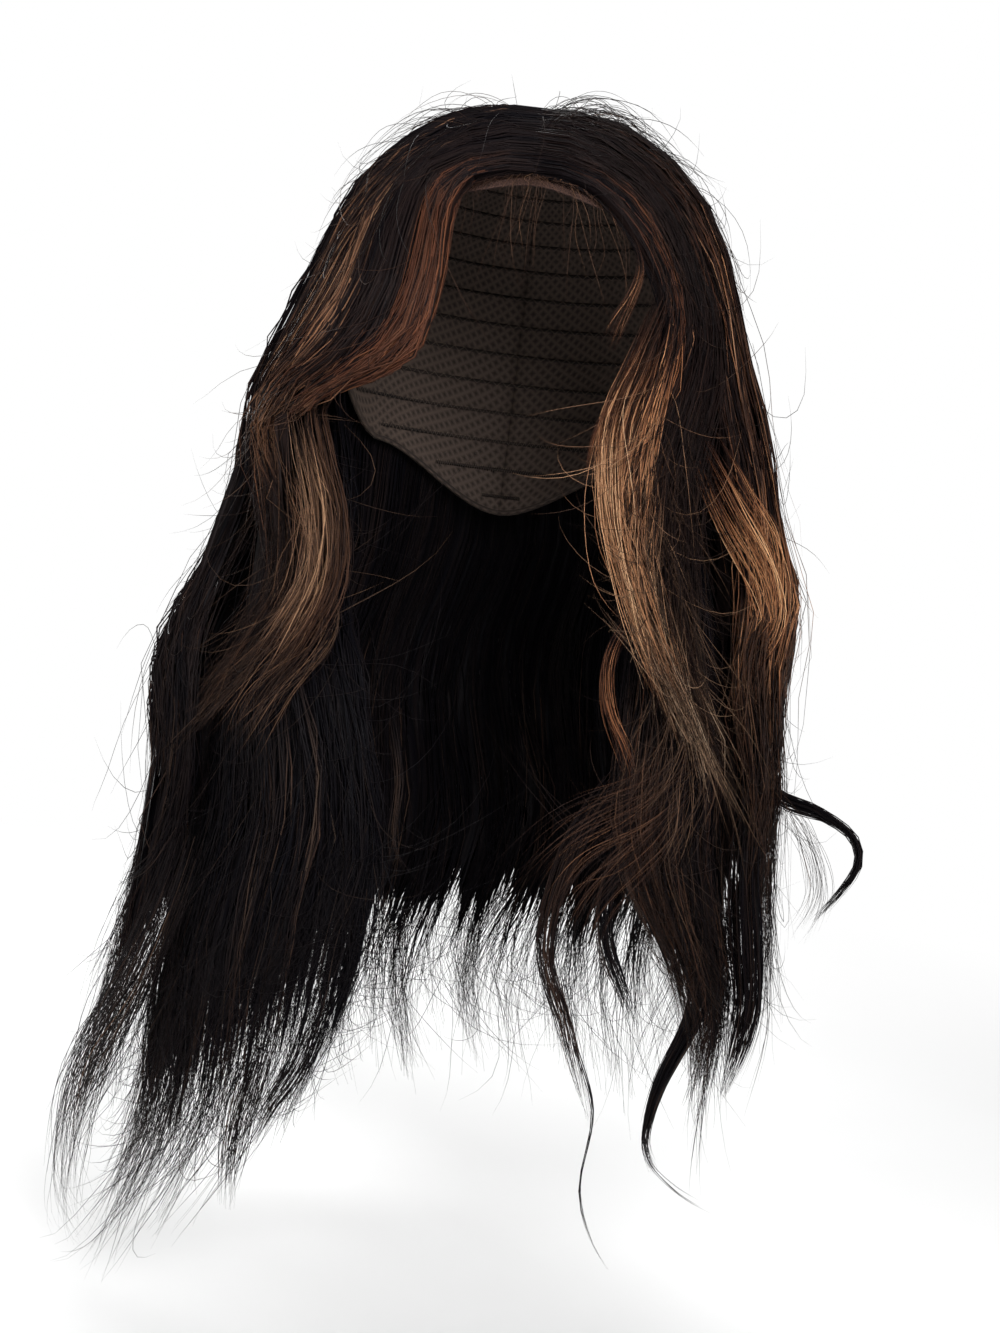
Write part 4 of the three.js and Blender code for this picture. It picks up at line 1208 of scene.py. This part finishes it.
def along_line(x, place, values):
    """Points or directions given along a line, read at places x."""
    return np.stack([np.interp(x, place, values[:, axis]) for axis in range(3)], -1)


def lay_bundle(count, radius, tone, warmth, wander, curl, stations):
    """Strands that follow one line of stations, spread over its width, with a random waver and curl."""
    azimuth, reach, height, width = np.array(stations, float).T
    line = smooth_line(around_axis(azimuth, reach, height))
    place = np.linspace(0, 1, LINE_SAMPLES)
    widths = np.interp(place, np.linspace(0, 1, len(stations)), width)
    s = np.linspace(0, 1, BUNDLE_STEPS)[None, :]
    begin = even_draw(count, *BUNDLE_STARTS)
    end = 1 - np.abs(bell_draw(count, BUNDLE_END_SPREAD))
    x = np.clip(begin + (end - begin) * s, 0, 1)
    middle = along_line(x, place, line)
    tangent = unit(along_line(x, place, unit(np.gradient(line, axis=0))))
    out = middle - HEAD_CENTRE
    out[..., 2] = 0
    side = unit(np.cross(tangent, out))
    up = np.cross(side, tangent)
    angle = even_draw(count, 0, 2 * np.pi)
    spread = 0.5 * np.interp(x, place, widths) * np.sqrt(rng.random((count, 1)))
    run = x * np.linalg.norm(np.diff(line, axis=0), axis=1).sum()
    wide = spread * np.cos(angle) + wander * s * waver(count, BUNDLE_STEPS, run, *BUNDLE_LENGTHS)
    rise = BUNDLE_WANDER_OUT * wander * s * waver(count, BUNDLE_STEPS, run, *BUNDLE_LENGTHS)
    tall = BUNDLE_FLATNESS * spread * np.sin(angle) + rise
    spin = 2 * np.pi * (x * even_draw(count, *COIL_TURNS) + rng.random((count, 1)))
    coil = curl * even_draw(count, *COIL_SIZES) * ramp(s, *COIL_RAMP)
    wide, tall = wide + coil * np.cos(spin), tall + coil * np.sin(spin)
    points = middle + side * wide[..., None] + up * tall[..., None]
    radii = strand_radii(radius * rng.uniform(*RADIUS_SHARES, count), BUNDLE_STEPS)
    dark = min(tone, BUNDLE_END_TONE)
    tones = dark + (tone - dark) * ease(np.minimum(x / ROOT_FADE, s / STRAND_FADE)) * ease((1 - x) / TIP_FADE)
    return points, radii, *strand_colour(tones + bell_draw(count, BUNDLE_TONE_SPREAD), warmth)


# %% Flyaways over the crown and baby hairs at the front edge
FUZZ_STEPS = 12
FUZZ_RADIUS = 0.12
FUZZ_FOOT = 5.5
FUZZ_BACK_TO_FRONT = (-0.32, 0.5)
FUZZ_LEAST_HEIGHT = 0.05
FUZZ_LEAN = 0.6
FUZZ_SINK = (0.5, 1.4)
FUZZ_DRIFT, FUZZ_LENGTHS = 1.5, (30, 80)
FUZZ_TONE, FUZZ_TONE_SPREAD, FUZZ_WARMTH = 0.22, 0.1, 0.3
BABY_SHARES = (0.6, 1.0)
BABY_TURN, BABY_DRIFT = 5, 1.6
BABY_RUN_MM = 50
BABY_FOOT, BABY_TIP_LIFT = 2.5, 2
BABY_ARCH = (0, 0.14)
BABY_TONE, BABY_TONE_SPREAD, BABY_WARMTH = 0.42, 0.08, 0.35

# Crown fuzz: how many, then least and most distance sideways of the parting, length in mm and steepness
CROWN_FUZZ = {
    "top_hair_left": (
        (210, (-52, -2), (25, 60), (0.2, 0.95)),
        (60, (-7, 4), (14, 34), (0.15, 0.45)),
    ),
    "top_hair_right": (
        (180, (2, 58), (25, 65), (0.2, 0.95)),
        (80, (-3, 10), (35, 70), (0.45, 1.25)),
        (60, (-4, 7), (14, 34), (0.15, 0.45)),
    ),
}
# Baby hairs: how many, then least and most azimuth and length in degrees of tilt
BABY_HAIRS = {
    "fringe_left": ((24, (-28, 6), (10, 34)), (26, (-32, 2), (3, 8))),
    "fringe_right": ((16, (10, 32), (10, 32)), (26, (-2, 34), (3, 8))),
}


def on_head(tilt, azimuth, lift):
    """Points over the head at a lift."""
    return (HEAD_RADII + lift[..., None]) * head_way(tilt, azimuth) + HEAD_CENTRE


def crown_fuzz(count, sideways_mm, lengths, steepness):
    """Fine hairs on top of the head that run away from the parting and rise and sink like a thrown ball."""
    s = np.linspace(0, 1, FUZZ_STEPS)[None, :]
    x = even_draw(count, *sideways_mm) / HEAD_RADII[0]
    y = even_draw(count, *FUZZ_BACK_TO_FRONT)
    foot = unit(np.stack([x, -y, np.sqrt(np.maximum(1 - x**2 - y**2, FUZZ_LEAST_HEIGHT))], -1))
    away = np.sign(np.mean(sideways_mm))
    lean = rng.normal(0, FUZZ_LEAN, (count, 1, 1))
    level = np.concatenate([away * np.cos(lean), np.sin(lean), 0 * lean], -1)
    ahead = unit(level - foot * np.sum(level * foot, -1, keepdims=True))
    run = even_draw(count, *lengths) * s
    steep = even_draw(count, *steepness)
    rise = run * steep - steep * even_draw(count, *FUZZ_SINK) * run * s
    drift = FUZZ_DRIFT * s * waver(count, FUZZ_STEPS, run, *FUZZ_LENGTHS)
    start = (HEAD_RADII + FUZZ_FOOT) * foot + HEAD_CENTRE
    points = start + ahead * run[..., None] + foot * rise[..., None]
    points = points + np.cross(ahead, foot) * drift[..., None]
    points = points - foot * (run**2 / (2 * HEAD_RADII[0]))[..., None]
    radii = strand_radii(FUZZ_RADIUS * rng.uniform(*FINE_SHARES, count), FUZZ_STEPS)
    tone = FUZZ_TONE + bell_draw(count, FUZZ_TONE_SPREAD) + 0 * s
    return points, radii, *strand_colour(tone, FUZZ_WARMTH)


def baby_hairs(count, azimuths, lengths):
    """Fine hairs that hang from the front edge between two azimuths."""
    s = np.linspace(0, 1, FUZZ_STEPS)[None, :]
    azimuth = even_draw(count, *azimuths) + bell_draw(count, BABY_TURN) * s
    azimuth = azimuth + BABY_DRIFT * s * waver(count, FUZZ_STEPS, s * BABY_RUN_MM, *FUZZ_LENGTHS)
    fall = even_draw(count, *lengths)
    tilt = edge_tilt(azimuth) + fall * s
    arch = even_draw(count, *BABY_ARCH) * fall * np.sin(np.pi * s)
    lift = BABY_FOOT + arch + BABY_TIP_LIFT * s
    radii = strand_radii(FUZZ_RADIUS * rng.uniform(*BABY_SHARES, count), FUZZ_STEPS)
    tone = BABY_TONE + bell_draw(count, BABY_TONE_SPREAD) + 0 * s
    return on_head(tilt, azimuth, lift), radii, *strand_colour(tone, BABY_WARMTH)


# %% [markdown]
# ## Turning lines into a piece
# The laid strands are written as loose edges, one vertex for each step. The tree is put on as a modifier,
# its inputs are set by their identifiers, and the evaluated result is kept as a plain mesh. After that the
# modifier, the core object and the helper attributes have done their work and go.

# %% Sweep strands and core into one mesh
THICKNESS = 1.0
TONE_WIDTH = 0.004
LINE_VALUES = ("strand_radius", "tone", "warmth")


def strand_lines(name, groups):
    """An object of loose edges for groups of strands, with radius, tone and warmth as attributes."""
    verts, edges, start = [], [], 0
    values = {key: [] for key in LINE_VALUES}
    for points, radii, tones, warmths in groups:
        count, steps = radii.shape
        verts.append(hold_in(points).reshape(-1, 3) * MM)
        at = start + np.arange(count * steps).reshape(count, steps)
        edges.append(np.stack([at[:, :-1].ravel(), at[:, 1:].ravel()], 1))
        start += count * steps
        for key, value in zip(LINE_VALUES, (radii * MM, tones, warmths)):
            values[key].append(np.ravel(value))
    mesh = bpy.data.meshes.new(name)
    mesh.from_pydata(np.concatenate(verts), np.concatenate(edges).tolist(), [])
    for key, value in values.items():
        layer = mesh.attributes.new(key, "FLOAT", "POINT")
        layer.data.foreach_set("value", np.concatenate(value).astype(np.float32))
    return link_object(name, mesh)


def swept_piece(piece_name, node, finish, core, groups):
    """A finished piece of strands and their core, in place of a CAD node."""
    piece = strand_lines(piece_name, groups)
    sweep = piece.modifiers.new("sweep strands", "NODES")
    sweep.node_group = STRAND_TREE
    settings = {
        "Core": core,
        "Strand sides": STRAND_SIDES,
        "Thickness": THICKNESS,
        "Tone width": TONE_WIDTH,
        "Finish": finish,
    }
    for port, value in settings.items():
        sweep[STRAND_PORTS[port]] = value
    graph = bpy.context.evaluated_depsgraph_get()
    mesh = bpy.data.meshes.new_from_object(piece.evaluated_get(graph), depsgraph=graph)
    piece.modifiers.clear()
    loose_edges, core_mesh = piece.data, core.data
    piece.data = mesh
    bpy.data.objects.remove(core)
    for used in (loose_edges, core_mesh):
        bpy.data.meshes.remove(used)
    for key in (*LINE_VALUES, "side"):
        mesh.attributes.remove(mesh.attributes[key])
    mesh.name = piece_name
    mesh.calc_loop_triangles()
    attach(piece, "root")
    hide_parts(node)
    strands = sum(len(radii) for _, radii, _, _ in groups)
    print(f"{piece_name}: {strands} strands, {len(mesh.loop_triangles)} triangles")


# %% Make the hair
def section_groups(name):
    """All the strands of one section: laid ones, wiry ones, bundles, soft ends and flyaways."""
    groups = [lay_strands(name)] + [lay_wiry(name, *row) for row in WIRY[name]]
    groups += [lay_bundle(*row) for owner, *row in BUNDLES if owner == name]
    if name in TIP_HAIRS:
        groups.append(lay_wiry(name, TIP_HAIRS[name], *TIP_SETTINGS))
    groups += [crown_fuzz(*row) for row in CROWN_FUZZ.get(name, ())]
    groups += [baby_hairs(*row) for row in BABY_HAIRS.get(name, ())]
    return groups


for name, section in SECTIONS.items():
    slot = section["slot"]
    swept_piece(name + "_strands", name, HAIR[slot], section_core(name), section_groups(name))

# %% [markdown]
# ## The net cap
# The hair is sewn to a stretch-net cap, which shows through the open front. Its shape is the upper part of
# the head down to a shaped edge: high over the forehead, low behind the ears and at the nape. Inside a real
# cap one sees the net, the rows where the hair is sewn on, their zigzag stitches and the hem. The shell is
# a grid like the cores, and rows, stitches and hem are lines that the same tree sweeps, so the cap is one
# piece too. The net itself is finer than geometry should be: two crossing sets of bands in the finish draw
# its threads and their bump.

# %% The cap's shell
SHELL_COLUMNS = 96
SHELL_ROWS = 32
CROWN_RING = 0.004
SHELL_TONE = 0.5
CLOTH_WARMTH = 0.5


def head_wall(name, azimuth, tilt, lifts, tone):
    """A thin wall of one tone over the head, between an outer and an inner lift."""
    outer, inner = (on_head(tilt, azimuth, lift + 0 * tilt) for lift in lifts)
    mesh, corner = wall_mesh(name, outer, inner)
    count = 2 * tilt.size
    add_map(mesh, "hair_tone", corner, np.full(count, tone), np.full(count, CLOTH_WARMTH))
    return link_object(name, mesh)


def cap_shell():
    """The cap's wall, from a small ring at the crown to the edge."""
    turn_round = np.linspace(-180, 180, SHELL_COLUMNS + 1)
    azimuth, down = np.meshgrid(turn_round, np.linspace(CROWN_RING, 1, SHELL_ROWS + 1))
    return head_wall("cap_shell", azimuth, edge_tilt(azimuth) * down, (CAP_WALL, 0.0), SHELL_TONE)


# %% Rows, stitches and hem
WEFT_TILTS = np.arange(12, 118, 7.5)
WEFT_STEPS = 72
STITCH_STEPS = 120
STITCH_MM = 2.0
HEM_STEPS = 241
HEM_INSET = 0.8
ROW_TRIALS = 721
ROW_CLEAR = 4
ROW_SEAM = 0.5
WEFT = dict(lift=-0.1, radius=0.8, tone=0.2)
STITCH = dict(lift=-0.85, radius=0.16, tone=0.8)
HEM = dict(lift=0.4, radius=1.3, tone=0.3)


def cap_row(tilt, steps):
    """Azimuths along one row of the cap, between the places where its edge cuts the row off."""
    wide = np.linspace(0, 180, ROW_TRIALS)
    inside = wide[edge_tilt(wide) > tilt + ROW_CLEAR]
    first = inside[0] if inside[0] > 0 else ROW_SEAM
    return np.linspace(first, 360 - first, steps)


def thread(tilt, azimuth, lift, radius, tone):
    """One swept line over the head, as a group of a single strand."""
    points = on_head(tilt, azimuth, lift + 0 * azimuth)[None]
    steps = len(azimuth)
    return points, np.full((1, steps), radius), *strand_colour(np.full((1, steps), tone), CLOTH_WARMTH)


def cap_threads():
    """The rows of sewn hair, their zigzag stitches and the hem inside the cap."""
    groups = []
    zigzag = np.degrees(np.where(np.arange(STITCH_STEPS) % 2, 0.5, -0.5) * STITCH_MM / HEAD_RADII[2])
    for tilt in WEFT_TILTS:
        azimuth = cap_row(tilt, WEFT_STEPS)
        groups.append(thread(tilt + 0 * azimuth, azimuth, **WEFT))
        groups.append(thread(tilt + zigzag, cap_row(tilt, STITCH_STEPS), **STITCH))
    azimuth = np.linspace(0, 360, HEM_STEPS)
    groups.append(thread(edge_tilt(azimuth) - HEM_INSET, azimuth, **HEM))
    return groups


# %% The net finish
BANDS_PER_UNIT = 2 * np.pi / 10
NET_SHADE, NET_LIGHT = -0.2, 0.12
NET_BUMP = 0.6
NET_DEPTH_MM = 0.5
CLOTH_GLOSS = 0.25
CAP_CELLS = (96, 44)
CAP_ROUGHNESS = 0.85
CAP_TONES = (
    (0.0, (0.006, 0.0045, 0.004)),
    (0.3, (0.02, 0.014, 0.0115)),
    (0.6, (0.06, 0.042, 0.033)),
    (1.0, (0.12, 0.09, 0.07)),
)


def net_finish(name, tones, cells, roughness):
    """A cloth material: a ramp on tone, crossed by two sets of slanting threads, in cells across and down."""
    material, tree, shader = new_material(name)
    place = read_map(tree, "OFBake")
    bands = []
    for slant in (1, -1):
        scale = {"Vector": place, "Scale": (cells[0] / WALL_SPAN, slant * cells[1], 0)}
        turned = add_node(tree, "ShaderNodeMapping", scale).outputs["Vector"]
        wave = {"Vector": turned, "Scale": BANDS_PER_UNIT, "Distortion": 0.0}
        bands.append(add_node(tree, "ShaderNodeTexWave", wave, bands_direction="DIAGONAL").outputs["Fac"])
    net = node_math(tree, "MAXIMUM", *bands)
    tone = add_node(tree, "ShaderNodeSeparateXYZ", {"Vector": read_map(tree, "hair_tone")}).outputs["X"]
    shade = node_math(tree, "ADD", tone, rescale(tree, net, NET_SHADE, NET_LIGHT))
    tree.links.new(colour_ramp(tree, shade, tones), shader.inputs["Base Color"])
    add_bump(tree, shader, net, NET_BUMP, NET_DEPTH_MM)
    shader.inputs["Roughness"].default_value = roughness
    shader.inputs["Specular IOR Level"].default_value = CLOTH_GLOSS
    return material


cap_net = net_finish("cap_net", CAP_TONES, CAP_CELLS, CAP_ROUGHNESS)
swept_piece("net_cap", "cap", cap_net, cap_shell(), cap_threads())

# %% [markdown]
# ## The lace front
# Along the forehead the cap ends in a narrow strip of brown lace, into which the front hairs are knotted
# one by one. It shows as a thin reddish line under the front edge of the hair. The strip is a thin wall on
# the head's surface, and its threads are two crossing sets of short lines and two border lines, swept like
# the rest.

# %% Make the lace
LACE_SPAN = 60
LACE_GAP_DEG = 0.25
LACE_WIDTH_DEG = 3.2
LACE_LIFTS = (0.75, 0.1)
LACE_COLUMNS = 96
LACE_ROWS = 6
LACE_TONE = 0.4
LACE_TONES = ((0.0, (0.008, 0.004, 0.0035)), (0.4, (0.024, 0.011, 0.0085)), (1.0, (0.09, 0.045, 0.032)))
LACE_CELLS = (90, 4)
LACE_ROUGHNESS = 0.8
LACE_THREADS = 110
LACE_THREAD_STEPS = 4
LACE_SLANTS = (1.6, -1.6)
LACE_END = 2
LACE_BORDERS = (0.06, 0.94)
LACE_THREAD = dict(lift=0.75, radius=0.13, tone=0.75)
LACE_BORDER = dict(lift=0.6, radius=0.3, tone=0.6)


def lace_tilt(azimuth, share):
    """The tilt at a share of the strip's width, from its upper border down."""
    return edge_tilt(azimuth) + LACE_GAP_DEG + LACE_WIDTH_DEG * share


def lace_strip():
    """The strip of lace as a thin wall."""
    span = np.linspace(-LACE_SPAN, LACE_SPAN, LACE_COLUMNS + 1)
    azimuth, down = np.meshgrid(span, np.linspace(0, 1, LACE_ROWS + 1))
    return head_wall("lace_wall", azimuth, lace_tilt(azimuth, down), LACE_LIFTS, LACE_TONE)


def lace_threads():
    """Crossing threads and borders on the lace."""
    groups = []
    s = np.linspace(0, 1, LACE_THREAD_STEPS)
    for slant in LACE_SLANTS:
        for middle in np.linspace(-LACE_SPAN + LACE_END, LACE_SPAN - LACE_END, LACE_THREADS):
            azimuth = middle + slant * (s - 0.5)
            groups.append(thread(lace_tilt(azimuth, s), azimuth, **LACE_THREAD))
    azimuth = np.linspace(-LACE_SPAN, LACE_SPAN, LACE_COLUMNS + 1)
    for share in LACE_BORDERS:
        groups.append(thread(lace_tilt(azimuth, share), azimuth, **LACE_BORDER))
    return groups


lace = net_finish("lace", LACE_TONES, LACE_CELLS, LACE_ROUGHNESS)
swept_piece("lace_strip", "lace_front", lace, lace_strip(), lace_threads())
